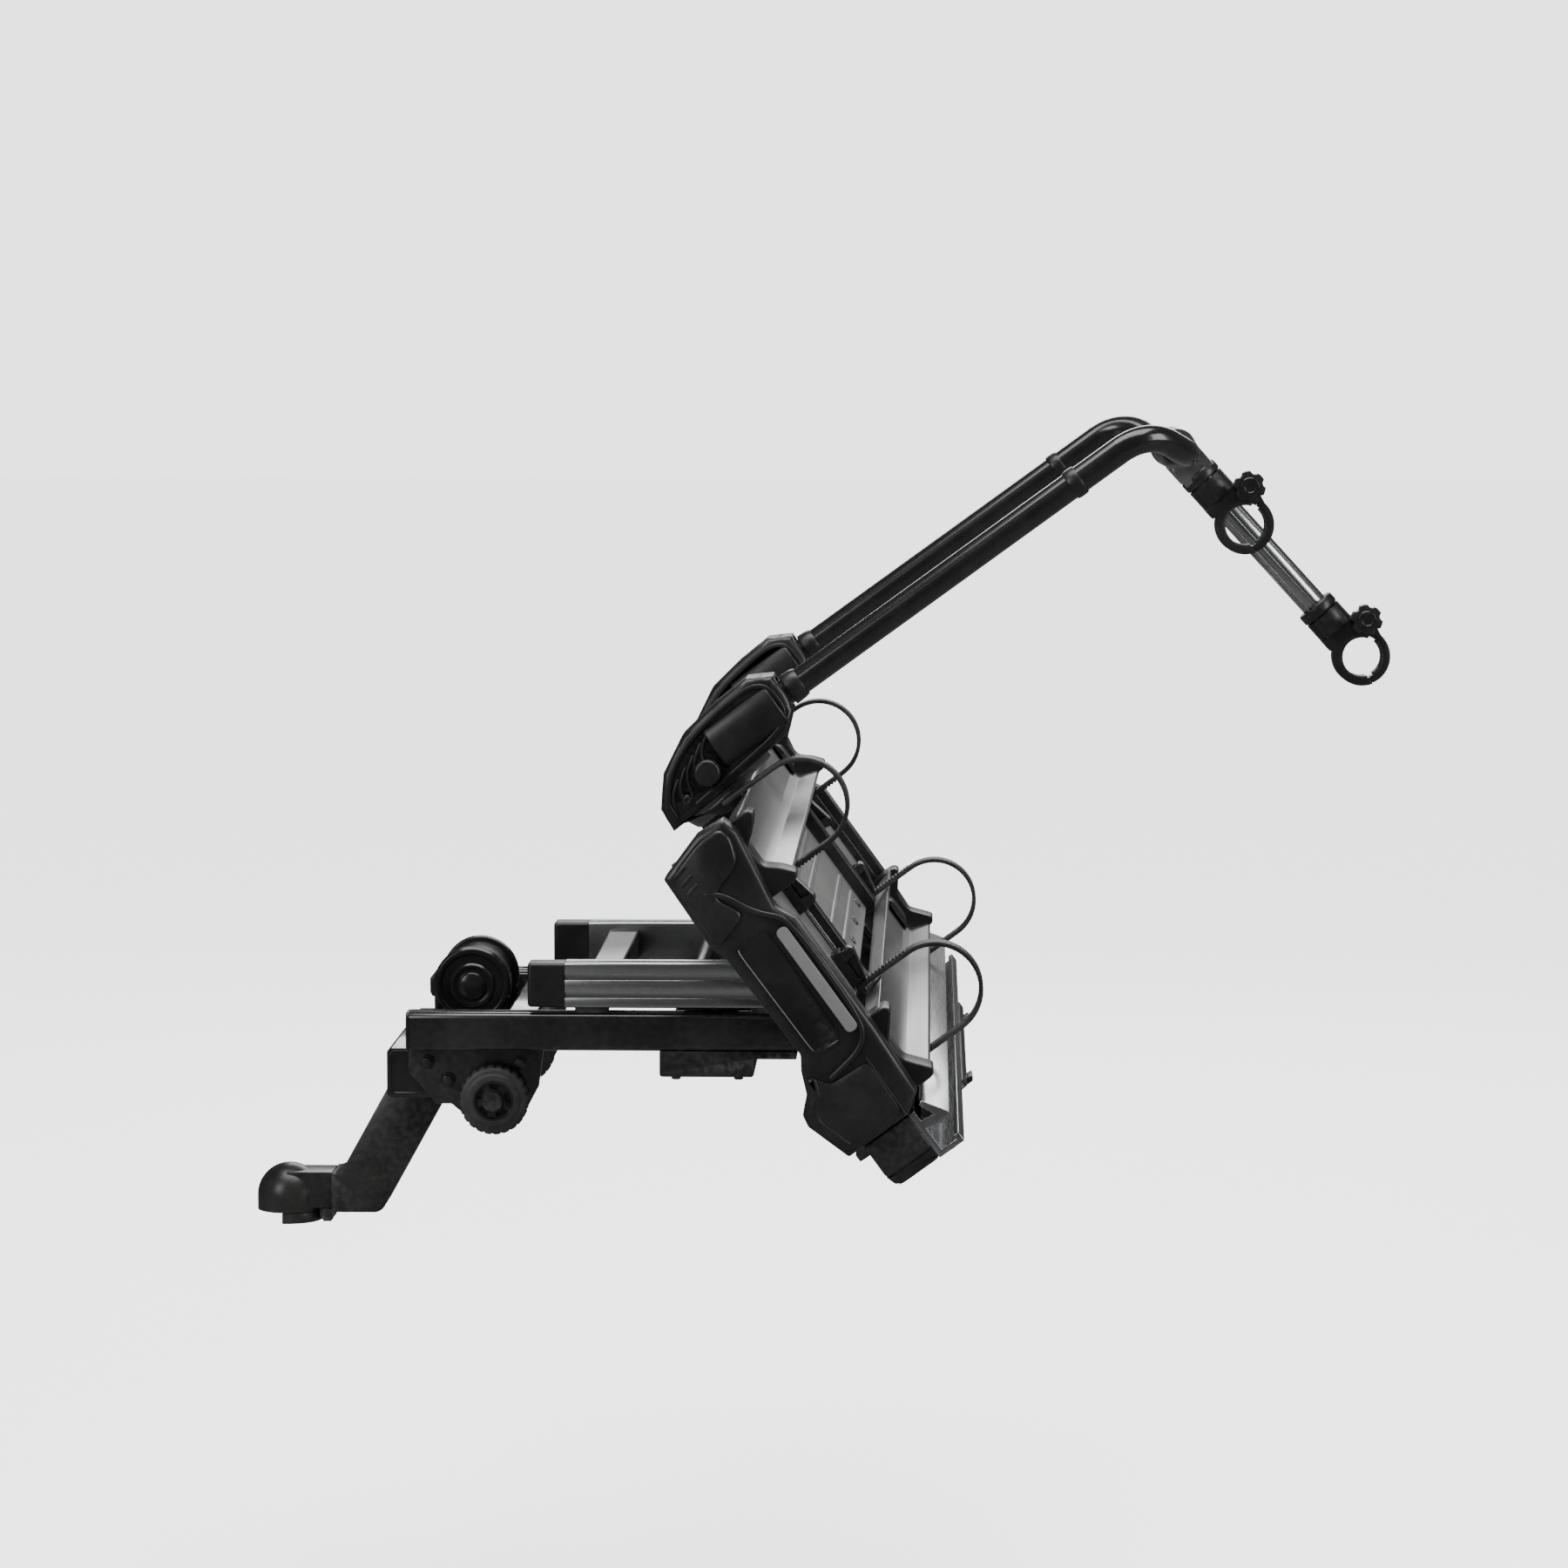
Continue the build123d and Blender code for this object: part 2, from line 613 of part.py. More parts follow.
with BuildPart() as cover_insets:
    with BuildSketch(deck_side(-(deck_half_width - inset_depth))):
        with Locations(((inset_front + inset_rear) / 2, (inset_low + inset_high) / 2)):
            RectangleRounded(inset_rear - inset_front - 1, inset_high - inset_low - 1, 4.5)
    extrude(amount=inset_depth - 1)
    mirror(about=Plane.XZ)
save(cover_insets, "cover_insets")

# Lamp bar across the back: a silver channel with a raised rear lip.
bar_front, bar_rear = 276.5, 330.0
bar_low, bar_web = tray_low, tray_low + 5.5
with BuildPart() as lamp_bar:
    with BuildSketch(deck_side(0)):
        face((bar_front + 8, bar_low), (bar_rear, bar_low), (bar_rear, 76), (bar_rear - 9, 76),
             (bar_rear - 9, 71), (bar_rear - 5, 71), (bar_rear - 5, bar_web), (bar_front + 26, bar_web),
             (bar_front + 30, 70), (bar_front + 26, 80), (bar_front + 4, 66), (bar_front + 6, 62),
             (bar_front + 20, 68), (bar_front + 18, bar_web), (bar_front + 8, bar_web))
    extrude(amount=deck_half_width - 12, both=True)
save(lamp_bar, "lamp_bar")

lamp_front, lamp_rear, lamp_low = 285.0, 320.0, 3.0
lamp_length = 210.0
lens_thickness = 8.0
lamp_end = deck_half_width - 12
with BuildPart() as lamp_housings:
    with BuildSketch(deck_side(-(lamp_end - lamp_length))):
        face((lamp_front, lamp_low), (lamp_rear - 4, lamp_low), (lamp_rear, lamp_low + 6),
             (lamp_rear, bar_low), (lamp_front, bar_low))
    extrude(amount=lamp_length)
    with BuildSketch(deck_side(-(lamp_end - lamp_length + 4))):
        with Locations(((lamp_front + lamp_rear) / 2, (lamp_low + bar_low) / 2)):
            Rectangle(lamp_rear - lamp_front - 7, bar_low - lamp_low - 12)
    extrude(amount=lamp_length - 8, mode=Mode.SUBTRACT)
    mirror(about=Plane.XZ)
save(lamp_housings, "lamp_housings")

with BuildPart() as lamp_lenses:
    with BuildSketch(deck_end(lamp_rear)):
        with Locations((lamp_end - lamp_length / 2, (lamp_low + bar_low) / 2 + 2)):
            RectangleRounded(lamp_length - 6, bar_low - lamp_low - 8, 6)
    extrude(amount=lens_thickness)
    mirror(about=Plane.XZ)
save(lamp_lenses, "lamp_lenses")

with BuildPart() as plate_holder:
    with BuildSketch(deck_end(bar_rear)):
        with Locations((0, 16)):
            RectangleRounded(536, 122, 8)
            with GridLocations(300, 0, 2, 1):
                SlotOverall(30, 7, mode=Mode.SUBTRACT)
    extrude(amount=4)
    with BuildSketch(deck_end(bar_rear + 4)):
        with Locations((0, 16)):
            RectangleRounded(536, 122, 8)
            RectangleRounded(524, 112, 4, mode=Mode.SUBTRACT)
    extrude(amount=3)
save(plate_holder, "plate_holder")

# Wheel straps, arched ready for a wheel, and their ratchets on the panel.
strap_inner = tray_half + 1.5
strap_foot, strap_shoulder = tray_low + panel_thickness + 2, 112.0


def strap_shape(u, grow):
    """The outline of the arch under a strap, grown outwards."""
    half = strap_inner + grow
    top = strap_top - strap_thickness + grow
    with BuildLine() as outline:
        Line((u - half, strap_foot), (u + half, strap_foot))
        Line((u + half, strap_foot), (u + half, strap_shoulder))
        ThreePointArc((u + half, strap_shoulder), (u, top), (u - half, strap_shoulder))
        Line((u - half, strap_shoulder), (u - half, strap_foot))
    return outline.edges()


ratchet_length = 36.0
ratchet_top = tray_low + panel_thickness + 9
strap_places = [("front", tray_front_u, 1), ("rear", tray_rear_u, -1)]
strap_edge = strap_y - strap_width / 2
with BuildPart() as wheel_straps:
    for tray, u, facing in strap_places:
        with BuildSketch(deck_side(-strap_edge)):
            make_face(strap_shape(u, strap_thickness))
            make_face(strap_shape(u, 0), mode=Mode.SUBTRACT)
        extrude(amount=strap_width)
    mirror(about=Plane.XZ)
save(wheel_straps, "wheel_straps")

ratchet_pin_radius = 3.0
ratchet_pin_v = ratchet_top + 6
post_thickness = 3.0
ratchet_half = strap_width / 2 + 0.5
with BuildPart() as ratchet_bases:
    for tray, u, facing in strap_places:
        start = u + facing * (strap_inner + strap_thickness)
        pin_u = start + facing * (ratchet_length - 7)
        with BuildSketch(deck_top(tray_low + panel_thickness)):
            with Locations((start + facing * ratchet_length / 2, -strap_y)):
                RectangleRounded(ratchet_length, strap_width + 8, 3)
        extrude(amount=ratchet_top - tray_low - panel_thickness)
        with BuildSketch(deck_side(-(strap_y - ratchet_half - post_thickness)),
                         deck_side(-(strap_y + ratchet_half))):
            face((pin_u - 5, ratchet_top), (pin_u + 5, ratchet_top), (pin_u + 4, ratchet_pin_v + 4),
                 (pin_u - 4, ratchet_pin_v + 4))
        extrude(amount=post_thickness)
        with BuildSketch(deck_side(-(strap_y - ratchet_half - 1))):
            with Locations((pin_u, ratchet_pin_v)):
                Circle(ratchet_pin_radius)
        extrude(amount=2 * ratchet_half + 2)
    mirror(about=Plane.XZ)
save(ratchet_bases, "ratchet_bases")

for tray, u, facing in strap_places:
    start = u + facing * (strap_inner + strap_thickness)
    pin_u = start + facing * (ratchet_length - 7)
    for name, side in sides.items():
        with BuildPart() as ratchet_lever:
            with BuildSketch(deck_side(side * strap_edge)):
                with Locations((pin_u, ratchet_pin_v)):
                    Circle(5.5)
                face((pin_u, ratchet_pin_v - 5), (start + facing * 2, ratchet_top + 1),
                     (start + facing * 2, ratchet_top + 6), (pin_u, ratchet_pin_v + 5.5))
                with Locations((pin_u, ratchet_pin_v)):
                    Circle(ratchet_pin_radius + running_gap, mode=Mode.SUBTRACT)
            extrude(amount=-side * strap_width)
        save(ratchet_lever, f"ratchet_lever_{tray}_{name}")

# Foot pedal: a rocker under the deck whose finger stands in front of the striker when the deck is level.
rocker_u, rocker_v, rocker_half = 160.0, 34.0, 12.0
rocker_pin_radius = 4.0
rocker_low, rocker_high = rocker_v - 4, rocker_v + 4
finger_u = pivot_u + striker_x - pivot_x
finger_v = striker_z - pivot_z
finger_reach = striker_radius + 1.5
tread_front, tread_rear, tread_low = 318.0, 356.0, -64.0
with BuildPart() as tilt_pedal:
    with BuildSketch(deck_side(0)):
        face((finger_u - 18, rocker_high), (finger_u - 18, finger_v - finger_reach - 7),
             (finger_u - finger_reach - 1, finger_v - finger_reach - 7),
             (finger_u - finger_reach - 1, rocker_low),
             (300, rocker_low), (tread_front, tread_low), (tread_front + 8, tread_low),
             (308, rocker_high))
        with Locations((rocker_u, rocker_v)):
            Circle(8)
            Circle(rocker_pin_radius + running_gap, mode=Mode.SUBTRACT)
    extrude(amount=rocker_half, both=True)
    with BuildSketch(deck_top(tread_low)):
        with Locations(((tread_front + tread_rear) / 2, 0)):
            RectangleRounded(tread_rear - tread_front, 90, 6)
    extrude(amount=9)
save(tilt_pedal, "tilt_pedal")

with BuildPart() as pedal_bracket:
    with BuildSketch(deck_side(-(rocker_half + 0.5)), deck_side(rocker_half + 4.5)):
        face((rocker_u - 14, tray_low), (rocker_u - 8, rocker_v - 9), (rocker_u + 8, rocker_v - 9),
             (rocker_u + 14, tray_low))
    extrude(amount=4)
    with BuildSketch(deck_side(0)):
        with Locations((rocker_u, rocker_v)):
            Circle(rocker_pin_radius)
    extrude(amount=rocker_half + 1, both=True)
save(pedal_bracket, "pedal_bracket")

# Moulded boots over the upright frame's fold hinges, open at the top and the back for the legs.
boot_points = [
    (-14, 3), (-37, 5), (-62, 26), (-80, 60), (-86, 99), (-88, 137), (-76, 158), (-40, 156), (-26, 140),
    (-17, 66),
]
slot_half = knuckle_radius + 1.5
for name, side in sides.items():
    with BuildPart() as boot:
        y, length = side_span(side, boot_inner, boot_outer)
        with BuildSketch(deck_side(y)):
            face(*boot_points)
        extrude(amount=length)
        fillet(boot.faces().sort_by(Axis.Y)[0].edges() + boot.faces().sort_by(Axis.Y)[-1].edges(), 7)
        with BuildSketch(deck_side(side * (leg_y - slot_half))):
            face((leg_u - 16, fold_v - 18), (leg_u - 16, 200), (40, 200), (40, fold_v - 18))
        extrude(amount=-side * 2 * slot_half, mode=Mode.SUBTRACT)
        with BuildSketch(deck_side(side * (boot_inner - 1))):
            with Locations((leg_u, fold_v)):
                Circle(fold_pin_radius)
        extrude(amount=-side * (2 * boot_half_width + 2), mode=Mode.SUBTRACT)
    save(boot, f"boot_{name}")

# Upright frame: one bent tube, with a solid knuckle welded in the foot of each leg.
leg_foot = fold_v + 8
with BuildPart() as upright_frame:
    with BuildLine() as path:
        corners = [deck_point(leg_u, -leg_y, leg_foot), deck_point(leg_u, -leg_y, shoulder_v),
                   deck_point(cross_u, -leg_y + 38, cross_v), deck_point(cross_u, leg_y - 38, cross_v),
                   deck_point(leg_u, leg_y, shoulder_v), deck_point(leg_u, leg_y, leg_foot)]
        FilletPolyline(*corners, radius=42)
    with BuildSketch(Plane(origin=corners[0], x_dir=(0, 1, 0), z_dir=deck_z)):
        Circle(tube_radius)
        Circle(tube_radius - tube_wall, mode=Mode.SUBTRACT)
    sweep(path=path.line)
    for side in sides.values():
        with BuildSketch(deck_side(side * leg_y)):
            with Locations((leg_u, fold_v)):
                Circle(knuckle_radius)
        extrude(amount=knuckle_radius, both=True)
        with BuildSketch(deck_top(fold_v)):
            with Locations((leg_u, side * leg_y)):
                Circle(tube_radius)
        extrude(amount=30)
        with BuildSketch(deck_side(side * leg_y)):
            with Locations((leg_u, fold_v)):
                Circle(fold_pin_radius + running_gap)
        extrude(amount=30, both=True, mode=Mode.SUBTRACT)
save(upright_frame, "upright_frame")

knob_u, knob_v = -40.0, 60.0
for name, side in sides.items():
    with BuildPart() as fold_knob:
        with BuildSketch(deck_side(side * (boot_outer + 0.5))):
            with Locations((knob_u, knob_v)):
                Circle(12)
        extrude(amount=-side * 16)
        outer = fold_knob.faces().sort_by(Axis.Y)[-1 if side > 0 else 0]
        fillet(outer.edges(), 3)
    save(fold_knob, f"fold_knob_{name}")

# Two bike arms on the cross tube. Each turns on the tube, and its head turns on the arm.
arms = {"long": (45.0, 240.0), "short": (-45.0, 62.0)}
arm_bore = tube_radius + running_gap
jaw_half = 8.0
head_gap = 0.3
hinge_radius = 4.0
knob_radius = 15.0
clamp_length = 34.0
arm_x = Vector(cos(radians(deck_tilt - arm_rise)), 0, -sin(radians(deck_tilt - arm_rise)))


def arm_side(y):
    """The arm's side plane: a along the arm from the cross tube, b up from it."""
    return Plane(origin=deck_point(cross_u, y, cross_v), x_dir=arm_x, z_dir=(0, -1, 0))


def arm_end(y, a):
    """A plane across the arm, this far along it."""
    return Plane(origin=deck_point(cross_u, y, cross_v) + arm_x * a, x_dir=(0, 1, 0), z_dir=arm_x)


for name, (arm_y, arm_length) in arms.items():
    half = clamp_length / 2
    sleeve = tube_radius + 22
    with BuildPart() as arm_clamp:
        with BuildSketch(arm_side(arm_y)):
            Circle(tube_radius + 7)
            with Locations(((tube_radius + sleeve) / 2, 0)):
                Rectangle(sleeve - tube_radius, 34)
        extrude(amount=half, both=True)
        with BuildSketch(arm_side(arm_y)):
            Circle(arm_bore)
        extrude(amount=half, both=True, mode=Mode.SUBTRACT)
        with BuildSketch(arm_end(arm_y, tube_radius + 8)):
            Circle(arm_radius)
        extrude(amount=30, mode=Mode.SUBTRACT)
    save(arm_clamp, f"arm_clamp_{name}")

    tube_start = tube_radius + 8
    with BuildPart() as arm_tube:
        with BuildSketch(arm_end(arm_y, tube_start)):
            Circle(arm_radius)
            Circle(arm_radius - 2, mode=Mode.SUBTRACT)
        extrude(amount=arm_length - tube_start)
    save(arm_tube, f"arm_tube_{name}")

    head_start = arm_length - 20
    claw_a = arm_length + 36
    hinge_a, hinge_b = claw_a - 25, claw_radius + 6
    slot = jaw_half + 0.4
    with BuildPart() as arm_head:
        with BuildSketch(arm_end(arm_y, head_start)):
            Circle(arm_radius + 6)
            Circle(arm_radius + running_gap, mode=Mode.SUBTRACT)
        extrude(amount=arm_length + head_gap - head_start)
        with BuildSketch(arm_side(arm_y)):
            with Locations((claw_a, 0)):
                Circle(claw_radius + claw_wall)
            face((arm_length + head_gap, -19), (hinge_a, -19), (hinge_a + 8, hinge_b), (hinge_a - 7, hinge_b),
                 (arm_length + head_gap, 19))
            with Locations((hinge_a, hinge_b)):
                Circle(6.5)
            face((claw_a, 0), (claw_a - 9, 25), (claw_a - 9, 60), (claw_a + 70, 60), (claw_a + 70, -26),
                 mode=Mode.SUBTRACT)
            with Locations((claw_a, 0)):
                Circle(claw_radius, mode=Mode.SUBTRACT)
        extrude(amount=claw_width / 2, both=True)
        with BuildSketch(arm_side(arm_y)):
            face((hinge_a - 8, hinge_b - 8), (claw_a, hinge_b - 8), (claw_a, 60), (hinge_a - 8, 60))
            with Locations((claw_a, 0)):
                Circle(claw_radius, mode=Mode.SUBTRACT)
        extrude(amount=slot, both=True, mode=Mode.SUBTRACT)
        with BuildSketch(arm_side(arm_y)):
            with Locations((hinge_a, hinge_b)):
                Circle(hinge_radius + running_gap)
        extrude(amount=claw_width, both=True, mode=Mode.SUBTRACT)
    save(arm_head, f"arm_head_{name}")

    with BuildPart() as arm_jaw:
        with BuildSketch(arm_side(arm_y)):
            with Locations((claw_a, 0)):
                Circle(claw_radius + claw_wall)
            face((claw_a, 0), (claw_a - 8, 30), (claw_a - 80, 60), (claw_a - 80, -60), (claw_a + 60, -60),
                 (claw_a + 60, -20.5), mode=Mode.SUBTRACT)
            face((hinge_a, hinge_b + 6.4), (claw_a - 2, claw_radius + claw_wall - 0.2),
                 (claw_a - 2, claw_radius + 1), (hinge_a, hinge_b - 6.4))
            with Locations((hinge_a, hinge_b)):
                Circle(6.5)
                Circle(hinge_radius + running_gap, mode=Mode.SUBTRACT)
            with Locations((claw_a, 0)):
                Circle(claw_radius, mode=Mode.SUBTRACT)
        extrude(amount=jaw_half, both=True)
    save(arm_jaw, f"arm_jaw_{name}")

    with BuildPart() as arm_knob:
        with BuildSketch(arm_side(arm_y - claw_width / 2 - 1)):
            with Locations((hinge_a, hinge_b)):
                Circle(knob_radius)
                with PolarLocations(knob_radius + 2, 6):
                    Circle(4.5, mode=Mode.SUBTRACT)
        extrude(amount=16)
        with BuildSketch(arm_side(arm_y + claw_width / 2 + 1)):
            with Locations((hinge_a, hinge_b)):
                Circle(hinge_radius)
        extrude(amount=claw_width + 4)
    save(arm_knob, f"arm_knob_{name}")
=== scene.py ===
import json
import math
import bmesh
import bpy
from mathutils import Matrix, Vector


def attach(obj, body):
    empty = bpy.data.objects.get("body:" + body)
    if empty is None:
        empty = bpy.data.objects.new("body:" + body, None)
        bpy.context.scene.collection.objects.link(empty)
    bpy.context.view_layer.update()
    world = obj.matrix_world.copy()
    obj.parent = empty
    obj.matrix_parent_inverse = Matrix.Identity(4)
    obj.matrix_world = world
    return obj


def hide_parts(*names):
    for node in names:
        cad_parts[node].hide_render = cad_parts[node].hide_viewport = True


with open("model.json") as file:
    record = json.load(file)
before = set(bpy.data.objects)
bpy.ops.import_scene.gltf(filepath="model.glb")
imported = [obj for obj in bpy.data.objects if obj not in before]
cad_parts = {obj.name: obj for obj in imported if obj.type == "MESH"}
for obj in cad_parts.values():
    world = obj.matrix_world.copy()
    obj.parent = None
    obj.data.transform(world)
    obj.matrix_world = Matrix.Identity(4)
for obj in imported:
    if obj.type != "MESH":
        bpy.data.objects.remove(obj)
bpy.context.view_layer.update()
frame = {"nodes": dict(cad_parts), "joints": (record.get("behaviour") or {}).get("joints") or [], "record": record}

# A tow-ball bicycle carrier. The deck's own axes are u, away from the car, Y, across it, and v, up from
# the deck. Deck pieces are modelled with the deck level and turned to its rest tilt when they are placed.

MM = 0.001
joints = {joint["name"]: joint for joint in frame["joints"]}
tilt_pivot = Vector(joints["deck_tilt"]["pos_m"])
deck_tilt = math.radians(-joints["deck_tilt"]["range_deg"][0])
PIVOT_U = 0.202
ARM_RISE = math.radians(6.5)
deck_turn = Matrix.Rotation(deck_tilt, 4, "Y")
deck_origin = tilt_pivot - deck_turn @ Vector((PIVOT_U, 0, 0))
DECK = Matrix.Translation(deck_origin) @ deck_turn
WORLD = Matrix.Identity(4)


def arm_frame(name):
    """The arm's own axes: x along the arm from the cross tube, z up from it."""
    turn = Matrix.Rotation(deck_tilt - ARM_RISE, 4, "Y")
    return Matrix.Translation(Vector(joints[f"arm_{name}_swing"]["pos_m"])) @ turn


# ---------------------------------------------------------------- shader groups

def new_group(name, inputs, outputs):
    """An empty node group with these sockets, and its input and output nodes."""
    group = bpy.data.node_groups.new(name, "ShaderNodeTree")
    for label, kind, value in inputs:
        socket = group.interface.new_socket(label, in_out="INPUT", socket_type=kind)
        if value is not None:
            socket.default_value = value
    for label, kind in outputs:
        group.interface.new_socket(label, in_out="OUTPUT", socket_type=kind)
    return group, group.nodes.new("NodeGroupInput"), group.nodes.new("NodeGroupOutput")


def add_node(tree, kind, links=None, **settings):
    """A node with its settings, and with {input: output socket or value} filled in."""
    node = tree.nodes.new(kind)
    for key, value in settings.items():
        setattr(node, key, value)
    for key, value in (links or {}).items():
        if isinstance(value, bpy.types.NodeSocket):
            tree.links.new(value, node.inputs[key])
        else:
            node.inputs[key].default_value = value
    return node


def ramp_node(tree, value, low, high):
    """Stretch a value so that low becomes 0 and high becomes 1."""
    return add_node(tree, "ShaderNodeMapRange", {"Value": value, "From Min": low, "From Max": high}, clamp=True)


def make_grain_group():
    """Fine moulded grain: a height for the bump and a small shift of the roughness."""
    group, given, made = new_group(
        "Moulded grain",
        [("Scale", "NodeSocketFloat", 900.0), ("Roughness", "NodeSocketFloat", 0.4),
         ("Variation", "NodeSocketFloat", 0.08)],
        [("Height", "NodeSocketFloat"), ("Roughness", "NodeSocketFloat")])
    place = add_node(group, "ShaderNodeTexCoord")
    fine = add_node(group, "ShaderNodeTexNoise", {"Vector": place.outputs["Object"],
                                                  "Scale": given.outputs["Scale"], "Detail": 3.0})
    cells = add_node(group, "ShaderNodeTexVoronoi", {"Vector": place.outputs["Object"],
                                                     "Scale": given.outputs["Scale"]})
    both = add_node(group, "ShaderNodeMath", {0: fine.outputs["Fac"], 1: cells.outputs["Distance"]},
                    operation="ADD")
    broad = add_node(group, "ShaderNodeTexNoise", {"Vector": place.outputs["Object"],
                                                  "Scale": 22.0, "Detail": 4.0})
    centred = add_node(group, "ShaderNodeMath", {0: broad.outputs["Fac"], 1: 0.5}, operation="SUBTRACT")
    shift = add_node(group, "ShaderNodeMath", {0: centred.outputs[0], 1: given.outputs["Variation"],
                                               2: given.outputs["Roughness"]}, operation="MULTIPLY_ADD")
    group.links.new(both.outputs[0], made.inputs["Height"])
    group.links.new(shift.outputs[0], made.inputs["Roughness"])
    return group


def make_wear_group():
    """Rubbed edges: mixes a base colour to a worn one where the surface is convex."""
    group, given, made = new_group(
        "Edge wear",
        [("Color", "NodeSocketColor", (0.1, 0.1, 0.1, 1)),
         ("Worn Color", "NodeSocketColor", (0.3, 0.3, 0.3, 1)),
         ("Amount", "NodeSocketFloat", 0.5)],
        [("Color", "NodeSocketColor"), ("Mask", "NodeSocketFloat")])
    shape = add_node(group, "ShaderNodeNewGeometry")
    place = add_node(group, "ShaderNodeTexCoord")
    edge = ramp_node(group, shape.outputs["Pointiness"], 0.53, 0.62)
    broken = add_node(group, "ShaderNodeTexNoise", {"Vector": place.outputs["Object"],
                                                   "Scale": 160.0, "Detail": 5.0})
    patch = ramp_node(group, broken.outputs["Fac"], 0.42, 0.66)
    rubbed = add_node(group, "ShaderNodeMath", {0: edge.outputs[0], 1: patch.outputs[0]},
                      operation="MULTIPLY")
    mask = add_node(group, "ShaderNodeMath", {0: rubbed.outputs[0], 1: given.outputs["Amount"]},
                    operation="MULTIPLY")
    mix = add_node(group, "ShaderNodeMix", {"Factor": mask.outputs[0], "A": given.outputs["Color"],
                                            "B": given.outputs["Worn Color"]}, data_type="RGBA")
    group.links.new(mix.outputs["Result"], made.inputs["Color"])
    group.links.new(mask.outputs[0], made.inputs["Mask"])
    return group


def make_dust_group():
    """A thin film of road dust in broad patches."""
    group, given, made = new_group(
        "Road dust",
        [("Color", "NodeSocketColor", (0.1, 0.1, 0.1, 1)),
         ("Dust Color", "NodeSocketColor", (0.3, 0.29, 0.27, 1)),
         ("Amount", "NodeSocketFloat", 0.12)],
        [("Color", "NodeSocketColor"), ("Mask", "NodeSocketFloat")])
    place = add_node(group, "ShaderNodeTexCoord")
    cloud = add_node(group, "ShaderNodeTexNoise", {"Vector": place.outputs["Object"], "Scale": 9.0,
                                                   "Detail": 8.0, "Roughness": 0.7})
    patch = ramp_node(group, cloud.outputs["Fac"], 0.45, 0.75)
    mask = add_node(group, "ShaderNodeMath", {0: patch.outputs[0], 1: given.outputs["Amount"]},
                    operation="MULTIPLY")
    mix = add_node(group, "ShaderNodeMix", {"Factor": mask.outputs[0], "A": given.outputs["Color"],
                                            "B": given.outputs["Dust Color"]}, data_type="RGBA")
    group.links.new(mix.outputs["Result"], made.inputs["Color"])
    group.links.new(mask.outputs[0], made.inputs["Mask"])
    return group


def make_brush_group():
    """Drawn metal: fine lines along the local X axis of the given vector."""
    group, given, made = new_group(
        "Drawn lines",
        [("Vector", "NodeSocketVector", None), ("Roughness", "NodeSocketFloat", 0.3),
         ("Variation", "NodeSocketFloat", 0.12)],
        [("Height", "NodeSocketFloat"), ("Roughness", "NodeSocketFloat"), ("Tone", "NodeSocketFloat")])
    stretch = add_node(group, "ShaderNodeVectorMath", {0: given.outputs["Vector"], 1: (6.0, 1600.0, 1600.0)},
                       operation="MULTIPLY")
    lines = add_node(group, "ShaderNodeTexNoise", {"Vector": stretch.outputs[0], "Scale": 1.0, "Detail": 2.0})
    centred = add_node(group, "ShaderNodeMath", {0: lines.outputs["Fac"], 1: 0.5}, operation="SUBTRACT")
    shift = add_node(group, "ShaderNodeMath", {0: centred.outputs[0], 1: given.outputs["Variation"],
                                               2: given.outputs["Roughness"]}, operation="MULTIPLY_ADD")
    wide = add_node(group, "ShaderNodeVectorMath", {0: given.outputs["Vector"], 1: (2.0, 90.0, 90.0)},
                    operation="MULTIPLY")
    bands = add_node(group, "ShaderNodeTexNoise", {"Vector": wide.outputs[0], "Scale": 1.0, "Detail": 3.0})
    tone = add_node(group, "ShaderNodeMapRange", {"Value": bands.outputs["Fac"], "From Min": 0.3,
                                                  "From Max": 0.7, "To Min": 0.88, "To Max": 1.08})
    group.links.new(lines.outputs["Fac"], made.inputs["Height"])
    group.links.new(shift.outputs[0], made.inputs["Roughness"])
    group.links.new(tone.outputs[0], made.inputs["Tone"])
    return group


grain_group = make_grain_group()
wear_group = make_wear_group()
dust_group = make_dust_group()
brush_group = make_brush_group()


# ---------------------------------------------------------------- materials

def new_material(name, **values):
    """A material whose Principled shader has these constants on its own sockets."""
    material = bpy.data.materials.new(name)
    material.use_nodes = True
    tree = material.node_tree
    shader = tree.nodes["Principled BSDF"]
    for key, value in values.items():
        shader.inputs[key.replace("_", " ")].default_value = value
    return material, tree, shader


def fill_group(tree, group, links):
    """Place a shader group and fill in its inputs."""
    node = tree.nodes.new("ShaderNodeGroup")
    node.node_tree = group
    for key, value in links.items():
        if isinstance(value, bpy.types.NodeSocket):
            tree.links.new(value, node.inputs[key])
        else:
            node.inputs[key].default_value = value
    return node


def rgba(level, tint=(1, 1, 1)):
    """A colour of this grey level with a slight tint."""
    return (level * tint[0], level * tint[1], level * tint[2], 1)


def coated(name, color, worn, roughness, grain, bump, wear=0.5, dust=0.1, variation=0.08, **values):
    """Paint, plastic or rubber: a grained surface with rubbed edges and a little dust."""
    material, tree, shader = new_material(name, **values)
    surface = fill_group(tree, grain_group, {"Scale": grain, "Roughness": roughness, "Variation": variation})
    edges = fill_group(tree, wear_group, {"Color": color, "Worn Color": worn, "Amount": wear})
    film = fill_group(tree, dust_group, {"Color": edges.outputs["Color"], "Amount": dust})
    relief = add_node(tree, "ShaderNodeBump", {"Height": surface.outputs["Height"], "Strength": bump,
                                               "Distance": 0.0004})
    tree.links.new(film.outputs["Color"], shader.inputs["Base Color"])
    tree.links.new(surface.outputs["Roughness"], shader.inputs["Roughness"])
    tree.links.new(relief.outputs[0], shader.inputs["Normal"])
    return material


